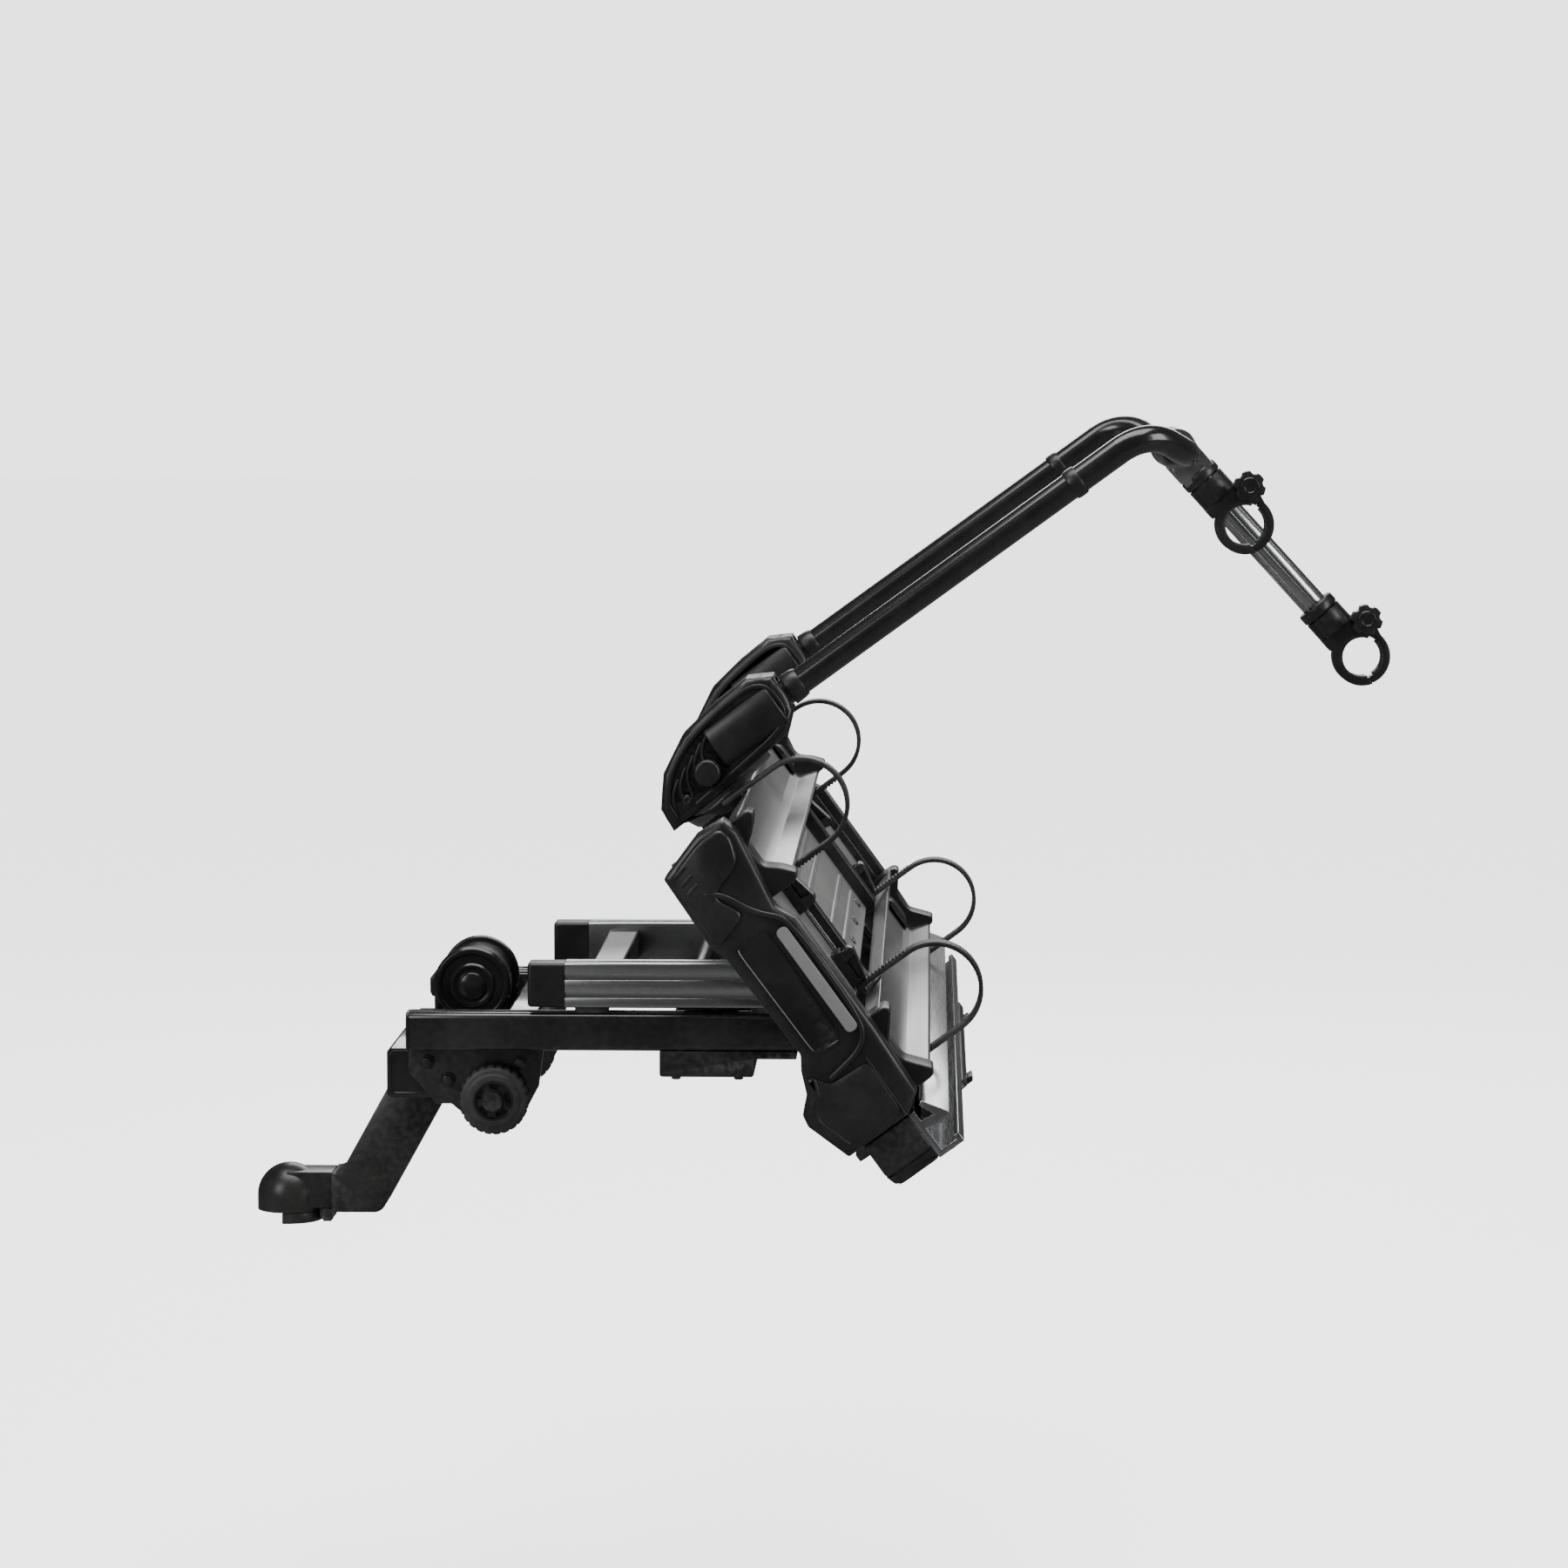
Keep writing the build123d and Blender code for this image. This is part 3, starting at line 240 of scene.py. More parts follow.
def drawn_metal(name, color, roughness, turn=(0, 0, 0), bump=0.12, dust=0.06, **values):
    """Extruded or drawn aluminium, with lines along one direction."""
    material, tree, shader = new_material(name, Metallic=1.0, **values)
    place = add_node(tree, "ShaderNodeTexCoord")
    along = add_node(tree, "ShaderNodeMapping", {"Vector": place.outputs["Object"], "Rotation": turn})
    lines = fill_group(tree, brush_group, {"Vector": along.outputs[0], "Roughness": roughness})
    edges = fill_group(tree, wear_group, {"Color": color, "Worn Color": rgba(0.85), "Amount": 0.4})
    film = fill_group(tree, dust_group, {"Color": edges.outputs["Color"], "Amount": dust})
    toned = add_node(tree, "ShaderNodeMix", {"Factor": 1.0, "A": film.outputs["Color"],
                                             "B": lines.outputs["Tone"]},
                      data_type="RGBA", blend_type="MULTIPLY")
    relief = add_node(tree, "ShaderNodeBump", {"Height": lines.outputs["Height"], "Strength": bump,
                                               "Distance": 0.0002})
    tree.links.new(toned.outputs["Result"], shader.inputs["Base Color"])
    tree.links.new(lines.outputs["Roughness"], shader.inputs["Roughness"])
    tree.links.new(relief.outputs[0], shader.inputs["Normal"])
    return material


SILVER = rgba(0.45, (0.99, 1.0, 1.02))
ALONG_Y = (0, 0, -math.pi / 2)
materials = {
    "black_steel": coated("Gloss black powder coat", rgba(0.004), rgba(0.1), 0.22, 900.0, 0.03, wear=0.3,
                          dust=0.03, Coat_Weight=0.5, Coat_Roughness=0.1),
    "black_cast": coated("Satin black cast steel", rgba(0.005), rgba(0.1), 0.34, 900.0, 0.12,
                         wear=0.4, dust=0.05),
    "zinc_steel": coated("Black zinc plated steel", rgba(0.11), rgba(0.4), 0.34, 900.0, 0.1, wear=0.6,
                         dust=0.08, Metallic=1.0),
    "silver_aluminium": drawn_metal("Anodised aluminium, drawn across", SILVER, 0.26, ALONG_Y),
    "tray_aluminium": drawn_metal("Satin tray aluminium", rgba(0.34), 0.36, ALONG_Y, dust=0.1),
    "black_plastic": coated("Grained black plastic", rgba(0.005), rgba(0.06), 0.33, 1400.0, 0.12,
                         wear=0.4, dust=0.04),
    "gloss_plastic": coated("Semi-gloss black plastic", rgba(0.004), rgba(0.06), 0.2, 1200.0, 0.04, wear=0.3,
                            dust=0.03),
    "panel_grey": coated("Grey panel enamel", rgba(0.1), rgba(0.25), 0.4, 500.0, 0.12, wear=0.4, dust=0.15),
    "strap_rubber": coated("Strap elastomer", rgba(0.007), rgba(0.05), 0.5, 1100.0, 0.25,
                         wear=0.5, dust=0.12),
    "tyre_rubber": coated("Roller rubber", rgba(0.009), rgba(0.06), 0.55, 800.0, 0.3, wear=0.5, dust=0.1),
    "lens_red": coated("Red lens", (0.4, 0.012, 0.012, 1), (0.6, 0.1, 0.1, 1), 0.1, 300.0, 0.02, wear=0.2,
                       dust=0.05, Coat_Weight=0.8, Coat_Roughness=0.04),
}
materials["rail_silver"] = drawn_metal("Anodised aluminium, drawn along the rails", SILVER, 0.24)
materials["arm_silver"] = drawn_metal("Anodised aluminium, drawn along the arms", SILVER, 0.22,
                                      (0, -(deck_tilt - ARM_RISE), 0))
materials["amber_lens"] = coated("Amber lens", (0.7, 0.2, 0.01, 1), (0.8, 0.4, 0.1, 1), 0.12, 300.0, 0.02,
                                 wear=0.2, dust=0.05, Coat_Weight=0.8, Coat_Roughness=0.04)
materials["clear_lens"] = coated("Clear reversing lens", rgba(0.7), rgba(0.8), 0.1, 300.0, 0.02, wear=0.1,
                                 dust=0.05, Coat_Weight=0.8, Coat_Roughness=0.04)

node_slots = {part["node"]: part["material_slot"] for part in frame["record"]["subparts"]}
node_finish = {"slide_rails": "rail_silver", "arm_tube_long": "arm_silver", "arm_tube_short": "arm_silver",
               "arm_clamp_long": "arm_silver", "arm_clamp_short": "arm_silver"}


def finish_of(node):
    """The name of the material that a CAD node wears."""
    return node_finish.get(node, node_slots[node])


def wear_material(piece, finish):
    """Give a piece one material in its first slot."""
    piece.data.materials.clear()
    piece.data.materials.append(materials[finish])


for node, cad_object in frame["nodes"].items():
    for slot in cad_object.material_slots:
        slot.material = materials[finish_of(node)]


# ---------------------------------------------------------------- modelling helpers

def deselect_all():
    """Nothing selected, nothing in edit mode."""
    if bpy.context.object and bpy.context.object.mode != "OBJECT":
        bpy.ops.object.mode_set(mode="OBJECT")
    bpy.ops.object.select_all(action="DESELECT")


def make_active(piece):
    """Select this piece alone and make it active."""
    deselect_all()
    piece.select_set(True)
    bpy.context.view_layer.objects.active = piece


def apply_modifier(piece, kind, **settings):
    """Add a modifier, set it and apply it."""
    make_active(piece)
    modifier = piece.modifiers.new(kind.title(), kind)
    for key, value in settings.items():
        setattr(modifier, key, value)
    bpy.ops.object.modifier_apply(modifier=modifier.name)


def soften(piece, width, segments=2, angle=30):
    """Round a piece's sharp edges and smooth its shading."""
    apply_modifier(piece, "BEVEL", width=width, segments=segments, limit_method="ANGLE",
                   angle_limit=math.radians(angle), harden_normals=False)
    make_active(piece)
    bpy.ops.object.shade_smooth_by_angle(angle=math.radians(35))


def settle(piece, axes):
    """Turn a piece from its local axes into the row frame, with its place in its mesh."""
    make_active(piece)
    piece.matrix_world = axes @ piece.matrix_world
    bpy.ops.object.transform_apply(location=True, rotation=True, scale=True)


def finish_piece(piece, name, body, finish, axes=WORLD):
    """Name a piece, place it, give it its material and let it ride."""
    settle(piece, axes)
    piece.name = name
    piece.data.name = name
    wear_material(piece, finish)
    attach(piece, body)
    return piece


bodies = frame["record"]["behaviour"]["bodies"]
body_of_node = {node: body for body, nodes in bodies.items() for node in nodes}


def smoothed_copy(node, width, segments=2):
    """A copy of a CAD node with its edges rounded, which stands for the node."""
    source = frame["nodes"][node]
    piece = bpy.data.objects.new(f"{node}_shell", source.data.copy())
    bpy.context.scene.collection.objects.link(piece)
    make_active(piece)
    bpy.ops.object.mode_set(mode="EDIT")
    bpy.ops.mesh.select_all(action="SELECT")
    bpy.ops.mesh.remove_doubles(threshold=0.00001)
    bpy.ops.mesh.dissolve_limited(angle_limit=math.radians(0.5))
    bpy.ops.object.mode_set(mode="OBJECT")
    soften(piece, width, segments)
    finish_piece(piece, f"{node}_shell", body_of_node[node], finish_of(node))
    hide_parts(node)
    return piece


edge_widths = {
    "coupling_head": 1.2, "coupling_jaw": 0.8, "gooseneck": 2.2, "cross_beam": 0.8, "side_plates": 0.6,
    "base_rails": 0.4, "base_rail_plugs": 0.8, "base_cross_members": 0.5, "lock_housing": 1.6,
    "lever_housing": 1.2, "coupling_lever": 1.0, "slide_lock_plunger": 0.8, "slide_rails": 0.4,
    "slide_rail_caps": 0.8,
    "carriage_frame": 0.6, "deck_beams": 0.8, "front_bar": 0.6, "wheel_tray_front": 0.6, "wheel_tray_rear": 0.6,
    "deck_panel": 0.8, "deck_bars": 0.6, "side_frames": 0.8, "lamp_bar": 0.5, "lamp_housings": 1.6,
    "lamp_lenses": 1.6, "plate_holder": 0.8, "wheel_straps": 0.8, "ratchet_bases": 0.6, "tilt_pedal": 1.0,
    "cover_insets": 0.8, "fold_knob_left": 0.8, "fold_knob_right": 0.8, "pedal_bracket": 0.5,
    "boot_left": 2.2, "boot_right": 2.2,
}
for tray in ("front", "rear"):
    for side in ("left", "right"):
        edge_widths[f"ratchet_lever_{tray}_{side}"] = 0.8
for arm in ("long", "short"):
    for part, width in (("clamp", 1.0), ("head", 1.0), ("jaw", 0.8), ("knob", 1.0)):
        edge_widths[f"arm_{part}_{arm}"] = width

for node, width in edge_widths.items():
    smoothed_copy(node, width * MM)

# ---------------------------------------------------------------- hand modelling

TOWARD = {
    "-x": Matrix.Rotation(math.pi / 2, 4, "Z"), "+x": Matrix.Rotation(-math.pi / 2, 4, "Z"),
    "-y": Matrix.Rotation(math.pi, 4, "Z"), "+y": Matrix.Identity(4),
    "-z": Matrix.Rotation(-math.pi / 2, 4, "X"), "+z": Matrix.Rotation(math.pi / 2, 4, "X"),
}


def at(x, y, z):
    """A move by this many millimetres."""
    return Matrix.Translation(Vector((x, y, z)) * MM)


def start_outline(points, y, filled=True):
    """In edit mode: a closed outline in the XZ plane (mm), at this Y."""
    deselect_all()
    bpy.ops.mesh.primitive_circle_add(vertices=len(points), radius=0.05,
                                      fill_type="NGON" if filled else "NOTHING")
    piece = bpy.context.object
    for vertex, (x, z) in zip(piece.data.vertices, points):
        vertex.co = Vector((x, y, z)) * MM
    bpy.ops.object.mode_set(mode="EDIT")
    bpy.ops.mesh.select_mode(type="FACE" if filled else "VERT")
    bpy.ops.mesh.select_all(action="SELECT")
    return piece


def pick_faces(piece, test):
    """In edit mode: select only the faces whose centre (mm) and normal pass a test."""
    mesh = bmesh.from_edit_mesh(piece.data)
    bpy.ops.mesh.select_mode(type="FACE")
    bpy.ops.mesh.select_all(action="DESELECT")
    for face in mesh.faces:
        face.select_set(test(face.calc_center_median() / MM, face.normal))
    mesh.select_flush_mode()
    bmesh.update_edit_mesh(piece.data)


def step_in(thickness, depth):
    """In edit mode: inset the selected faces and raise (or sink) them, in millimetres."""
    bpy.ops.mesh.inset(thickness=thickness * MM, depth=depth * MM, use_even_offset=False)


def outline_plate(points, near, far, steps=(), edge=1.0, segments=3):
    """A plate with this outline from one Y to another; its far face has these (inset, raise) steps."""
    piece = start_outline(points, near)
    bpy.ops.mesh.extrude_region_move(TRANSFORM_OT_translate={"value": (0, (far - near) * MM, 0)})
    bpy.ops.mesh.select_all(action="SELECT")
    bpy.ops.mesh.normals_make_consistent(inside=False)
    way = 1 if far > near else -1
    if steps:
        pick_faces(piece, lambda centre, normal: normal.y * way > 0.99 and abs(centre.y - far) < 0.01)
        for thickness, depth in steps:
            step_in(thickness, depth)
    bpy.ops.object.mode_set(mode="OBJECT")
    soften(piece, edge * MM, segments)
    return piece


def turned(profile, steps=40, edge=0.4):
    """A closed shape turned about the local Y axis, from its (radius, y) outline in millimetres."""
    piece = start_outline([(radius, 0) for radius, y in profile], 0, filled=False)
    mesh = bmesh.from_edit_mesh(piece.data)
    for vertex, (radius, y) in zip(mesh.verts, profile):
        vertex.co = Vector((radius, y, 0)) * MM
    bmesh.update_edit_mesh(piece.data)
    bpy.ops.mesh.spin(steps=steps, angle=2 * math.pi, center=(0, 0, 0), axis=(0, 1, 0))
    bpy.ops.mesh.select_all(action="SELECT")
    bpy.ops.mesh.remove_doubles(threshold=0.00002)
    bpy.ops.mesh.dissolve_degenerate(threshold=0.00002)
    bpy.ops.mesh.normals_make_consistent(inside=False)
    bpy.ops.object.mode_set(mode="OBJECT")
    if edge:
        soften(piece, edge * MM, 2, 40)
    return piece


def joined(pieces):
    """Join pieces into the first of them."""
    deselect_all()
    for piece in pieces:
        piece.select_set(True)
    bpy.context.view_layer.objects.active = pieces[0]
    bpy.ops.object.join()
    return bpy.context.object


def copied(source, place):
    """A copy of a piece with a mesh of its own, at another place."""
    piece = bpy.data.objects.new(source.name, source.data.copy())
    bpy.context.scene.collection.objects.link(piece)
    piece.matrix_world = place
    return piece


def discard(piece):
    """Remove a piece that was only copied from."""
    bpy.data.objects.remove(piece, do_unlink=True)


def band(path, width):
    """The outline of a band of this width along an open path."""
    left, right = [], []
    for index, point in enumerate(path):
        before, after = Vector(path[max(index - 1, 0)]), Vector(path[min(index + 1, len(path) - 1)])
        along = (after - before).normalized()
        across = Vector((-along.y, along.x)) * width / 2
        left.append(tuple(Vector(point) + across))
        right.append(tuple(Vector(point) - across))
    return left + right[::-1]


def eased(points, share=0.35, steps=4, closed=True):
    """The path with each corner eased into a short curve."""
    out = []
    count = len(points)
    for index, point in enumerate(points):
        if not closed and index in (0, count - 1):
            out.append(tuple(point))
            continue
        corner = Vector(point)
        start = corner.lerp(Vector(points[index - 1]), share)
        end = corner.lerp(Vector(points[(index + 1) % count]), share)
        for step in range(steps + 1):
            turn = step / steps
            out.append(tuple(start.lerp(corner, turn).lerp(corner.lerp(end, turn), turn)))
    return out


def mirrored_pair(make, name, body, finish, axes=DECK):
    """Make a piece on the left side, and its mirror image on the right."""
    for side, label in ((-1, "left"), (1, "right")):
        piece = make(side)
        finish_piece(piece, f"{name}_{label}", body, finish, axes)


# Fasteners: one flanged hexagon bolt and one domed screw, copied to each place.
washer = turned([(0, 0), (7, 0), (7, 1.0), (6.4, 1.5), (0, 1.5)], 28, 0.3)
hexagon = turned([(0, 1.2), (5.6, 1.2), (5.6, 4.2), (4.8, 5.2), (0, 5.2)], 6, 0.3)
bolt_model = joined([washer, hexagon])
screw_model = turned([(0, -0.5), (4.2, -0.5), (4.2, 0.6), (3.4, 1.6), (1.9, 2.0), (1.7, 0.7), (0, 0.7)],
                     24, 0.2)

fasteners = []
for side, toward in ((-1, "-y"), (1, "+y")):
    for x, z in ((151, 153), (171, 136), (240, 152)):
        fasteners.append((bolt_model, "hitch", WORLD, (x, side * 145, z), toward, 1.0))
    for x, z in ((160, 184), (210, 184)):
        fasteners.append((screw_model, "hitch", WORLD, (x, side * 47, z), toward, 1.3))
    for x in (388, 447):
        fasteners.append((bolt_model, "hitch", WORLD, (x, side * 160, 144), "-z", 0.8))
    for u, v in ((-30, 30), (-38, 138)):
        fasteners.append((screw_model, "deck", DECK, (u, side * 331.5, v), toward, 1.1))
    for y in (130, 262):
        fasteners.append((bolt_model, "deck", DECK, (-30, side * y, 74), "+z", 0.8))
    for u in (86, 183):
        fasteners.append((screw_model, "deck", DECK, (u, side * 225, 54), "+z", 1.2))
        fasteners.append((screw_model, "deck", DECK, (u, side * 75, 54), "+z", 1.2))
    for v in (-32, 62):
        fasteners.append((screw_model, "deck", DECK, (334, side * 250, v), "+x", 1.2))
    for y in (408, 582):
        fasteners.append((screw_model, "deck", DECK, (330, side * y, 63), "+x", 1.2))
for index, (model, body, axes, place, toward, size) in enumerate(fasteners, 1):
    copy = copied(model, at(*place) @ TOWARD[toward] @ Matrix.Scale(size, 4))
    finish_piece(copy, f"fastener_{index:02d}", body, "zinc_steel", axes)
discard(bolt_model)
discard(screw_model)


# ---------------------------------------------------------------- hitch details

for side, label, toward in ((-1, "left", "-y"), (1, "right", "+y")):
    cap = outline_plate([(118, 119.5), (184, 119.5), (188.5, 124), (188.5, 159), (184, 163.5), (118, 163.5),
                         (113.5, 159), (113.5, 124)], side * 137, side * 141.5, [(3, 0), (1.2, -1.2)], 0.6)
    finish_piece(cap, f"beam_end_cap_{label}", "hitch", "black_plastic")
    rim = turned([(37.6, 40.5), (37.6, 46.5), (35.2, 49.5), (31.0, 49.5), (29.5, 47.5), (29.5, 40.5)], 64, 0.6)
    rim.matrix_world = at(185, 0, 213) @ TOWARD[toward]
    finish_piece(rim, f"lever_rim_{label}", "hitch", "gloss_plastic")
    hub = turned([(0, 46), (22, 46), (22, 48.5), (20, 50), (17.5, 50), (16.5, 48.8), (13.5, 48.8), (12.8, 51.5),
                  (10.5, 53), (0, 53)], 48, 0.4)
    hub.matrix_world = at(185, 0, 213) @ TOWARD[toward]
    finish_piece(hub, f"lever_hub_{label}", "hitch", "gloss_plastic")
    bead = outline_plate(band(eased([(150, 170), (150, 190), (156, 204)], 0.4, 4, False), 3),
                         side * 46, side * 48.4, (), 0.8)
    finish_piece(bead, f"lever_cheek_bead_{label}", "hitch", "gloss_plastic")


def transport_wheel(side, label, toward):
    """A roller's tyre with cross grooves and a hub with five pockets, which stand for the CAD ones."""
    body = f"wheel_{label}"
    tyre = turned([(19, -12), (24, -12), (26, -10.6), (28.5, -10.8), (31, -9.5), (33, -6), (33, 6), (31, 9.5),
                   (28.5, 10.8), (26, 10.6), (24, 12), (19, 12)], 72, 0)
    make_active(tyre)
    bpy.ops.object.mode_set(mode="EDIT")

    def in_groove(centre, normal):
        turn = math.degrees(math.atan2(centre.z, centre.x)) % 15
        return turn < 5 and math.hypot(centre.x, centre.z) > 31.5
    pick_faces(tyre, in_groove)
    bpy.ops.mesh.inset(thickness=0.0003, depth=-0.0009)
    bpy.ops.object.mode_set(mode="OBJECT")
    soften(tyre, 0.0003, 2, 35)
    hub = turned([(6.1, -12.3), (18.9, -12.3), (18.9, 12.3), (17.2, 12.3), (16.4, 9), (10.4, 9), (9.6, 12.3),
                  (6.1, 12.3)], 60, 0)
    make_active(hub)
    bpy.ops.object.mode_set(mode="EDIT")

    def in_pocket(centre, normal):
        turn = math.degrees(math.atan2(centre.z, centre.x)) % 72
        return turn < 48 and 10.5 < math.hypot(centre.x, centre.z) < 16.4 and normal.y > 0.9
    pick_faces(hub, in_pocket)
    bpy.ops.mesh.inset(thickness=0.0008, depth=0.0)
    bpy.ops.mesh.inset(thickness=0.0002, depth=-0.005)
    bpy.ops.object.mode_set(mode="OBJECT")
    soften(hub, 0.0003, 2, 35)
    for piece, node in ((tyre, f"wheel_tyre_{label}"), (hub, f"wheel_hub_{label}")):
        piece.matrix_world = at(216, side * 160, 120) @ TOWARD[toward]
        finish_piece(piece, f"{node}_shell", body, node_slots[node])
        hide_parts(node)


transport_wheel(-1, "left", "-y")
transport_wheel(1, "right", "+y")


# ---------------------------------------------------------------- end covers

COVER_FACE = 606.0
COVER_TOP = 611.5
cover_outline = [
    (0, 0), (72, -2), (84, 3), (189, 6), (201, -2), (220, -10), (232, -23), (243, -25), (284, -12),
    (284, 51), (272, 68), (208, 71), (92, 71), (74, 62), (4, 74), (-12, 70), (-14, 44),
]
# A ridge runs from the front block, up over the label and down round the rear bulge.
ridge_path = eased([(30, 20), (39, 33), (68, 47), (88, 67), (196, 66), (214, 52), (220, 14)], 0.4, 5, False)
label_outline = eased([(82, 12), (198, 14), (200, 44), (84, 46)], 0.12, 3)
bulge_outline = eased([(206, 0), (222, -7), (234, -19), (243, -21), (280, -9), (280, 48), (226, 50),
                       (224, 12)], 0.2)
bulge_line = eased([(212, 4), (226, -1), (237, -12), (245, -14), (275, -4)], 0.35, 4, False)
front_outline = eased([(2, 4), (66, 2), (74, 8), (64, 40), (36, 26), (26, 60), (4, 68), (-8, 64),
                       (-10, 44)], 0.3)
grip_path = [[(4 + 9 * step, 9), (1 + 9 * step, 22)] for step in range(3)]


def cover_shell(side):
    """The end cover: a crowned moulding, shelled from the deck side."""
    return outline_plate(cover_outline, side * 568, side * (COVER_FACE - 3), [(3.5, 2), (5, 1)], 1.4)


def cover_ridge(side):
    return outline_plate(band(ridge_path, 5), side * (COVER_FACE - 2), side * (COVER_TOP - 1), (), 2.0, 4)


def cover_label(side):
    """The blank badge field: a raised border round a sunk panel."""
    return outline_plate(label_outline, side * (COVER_FACE - 2), side * (COVER_FACE + 1.5),
                         [(2.5, 0), (1, -0.8)], 0.4)


def cover_bulge(side):
    return outline_plate(bulge_outline, side * (COVER_FACE - 4), side * (COVER_TOP - 2), [(5, 1.6)], 2.4, 4)


def cover_front(side):
    """The smooth block round the front tray's end."""
    return outline_plate(front_outline, side * (COVER_FACE - 4), side * (COVER_TOP - 3), [(3, 1.6)], 2.4, 4)


for label, side in (("left", -1), ("right", 1)):
    node = f"side_cover_{label}"
    shell = cover_shell(side)
    line = outline_plate(band(bulge_line, 2.6), side * (COVER_TOP - 2.5), side * COVER_TOP, (), 1.0)
    seam = outline_plate(band([(222, 50), (283, 49)], 2), side * (COVER_FACE - 3), side * (COVER_FACE + 1),
                         (), 0.5)
    pieces = [shell, cover_bulge(side), line, seam, cover_ridge(side), cover_front(side)]
    for path in grip_path:
        pieces.append(outline_plate(band(path, 3), side * (COVER_TOP - 3), side * COVER_TOP, (), 1.0))
    cover = joined(pieces)
    finish_piece(cover, f"{node}_shell", "deck", "black_plastic", DECK)
    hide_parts(node)
    finish_piece(cover_label(side), f"cover_label_{label}", "deck", "gloss_plastic", DECK)

# Black cups close the wheel channels' ends, with a rolled lip that cradles the tyre.
for label, side in (("left", -1), ("right", 1)):
    for tray, u, top in (("front", 32, 88), ("rear", 237, 84)):
        outer = eased([(u - 37, 52), (u + 37, 52), (u + 37, top), (u + 31, top + 4), (u + 20, top - 5),
                       (u + 10, 71), (u - 10, 71), (u - 20, top - 5), (u - 31, top + 4), (u - 37, top)], 0.3, 4)
        cup = outline_plate(outer, side * 524, side * 566, [(1.5, 1.0)], 2.0, 4)
        pad = outline_plate(eased([(u - 22, 62), (u + 22, 62), (u + 12, 66.5), (u - 12, 66.5)], 0.2),
                            side * 470, side * 530, (), 1.0)
        cup = joined([cup, pad])
        finish_piece(cup, f"wheel_cup_{tray}_{label}", "deck", "black_plastic", DECK)


# ---------------------------------------------------------------- boots

boot_outline = eased([(-14, 3), (-37, 5), (-62, 26), (-80, 60), (-86, 99), (-88, 137), (-76, 158), (-44, 158),
                      (-26, 140), (-17, 66)], 0.42, 5)
boot_lip_path = eased([(-20, 12), (-38, 13), (-58, 31), (-73, 62), (-79, 99), (-81, 134), (-72, 149),
                       (-45, 150), (-32, 136), (-25, 66), (-22, 34)], 0.42, 5, False)


# The middle of each boot across the deck, and the slot that its leg folds in, in millimetres.
BOOT_Y = 300
SLOT_U, SLOT_V, SLOT_HALF = -72, 92, 15.5
boot_core_outline = []
for u, v in boot_outline:
    if v <= SLOT_V or u <= SLOT_U:
        boot_core_outline.append((u, v))
    elif (SLOT_U, SLOT_V) not in boot_core_outline:
        boot_core_outline += [(SLOT_U, boot_core_outline[-1][1]), (SLOT_U, SLOT_V), (-19, SLOT_V)]


def boot_shell(side):
    """A boot: two cheeks with a stepped round edge, and the core between them, open for the leg."""
    pieces = [outline_plate(boot_outline, side * (BOOT_Y + way * SLOT_HALF), side * (BOOT_Y + way * 29),
                            [(3.2, 2), (3.5, 1)], 1.6, 3) for way in (-1, 1)]
    core = outline_plate(boot_core_outline, side * (BOOT_Y - SLOT_HALF - 1), side * (BOOT_Y + SLOT_HALF + 1),
                         (), 0.6)
    pieces.append(core)
    return joined(pieces)


for label, side in (("left", -1), ("right", 1)):
    node = f"boot_{label}"
    shell = boot_shell(side)
    finish_piece(shell, f"{node}_shell", "deck", node_slots[node], DECK)
    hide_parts(node)


def boot_rib_paths():
    """Curved ribs across the boot's low front."""
    return [eased([(-24 - 3 * step, 14 + 11 * step), (-40 - 4.5 * step, 20 + 11 * step),
                   (-50 - 5 * step, 34 + 12 * step)], 0.45, 4, False) for step in range(5)]


def boot_bulge(y):
    """The round swelling over the leg's foot: a cylinder along v, flattened, with rounded ends."""
    deselect_all()
    bpy.ops.mesh.primitive_cylinder_add(vertices=40, radius=21 * MM, depth=68 * MM,
                                        location=(-53 * MM, y * MM, 112 * MM))
    piece = bpy.context.object
    bpy.ops.object.mode_set(mode="EDIT")
    bpy.ops.mesh.select_all(action="SELECT")
    bpy.ops.transform.resize(value=(1, 0.45, 1), center_override=(-53 * MM, y * MM, 112 * MM))
    pick_faces(piece, lambda centre, normal: abs(normal.z) > 0.9)
    bpy.ops.mesh.inset(thickness=0.002, depth=0.0012)
    bpy.ops.object.mode_set(mode="OBJECT")
    bpy.ops.object.transform_apply(location=True, rotation=True, scale=True)
    soften(piece, 0.002, 4)
    return piece


def boot_details(side):
    """The lip, the bulge over the hinge and the ribs, on both faces of a boot."""
    pieces = []
    for face in (332, 268):
        out = 1 if face == 332 else -1
        near, far = side * (face - 4 * out), side * (face + 2.6 * out)
        pieces.append(outline_plate(band(boot_lip_path, 4.5), near, far, (), 1.6, 4))
        for path in boot_rib_paths():
            pieces.append(outline_plate(band(path, 2.8), near, side * (face + 1.6 * out), (), 0.9))
        pieces.append(boot_bulge(side * (face - 3 * out)))
    return joined(pieces)


mirrored_pair(boot_details, "boot_details", "deck", "black_plastic")

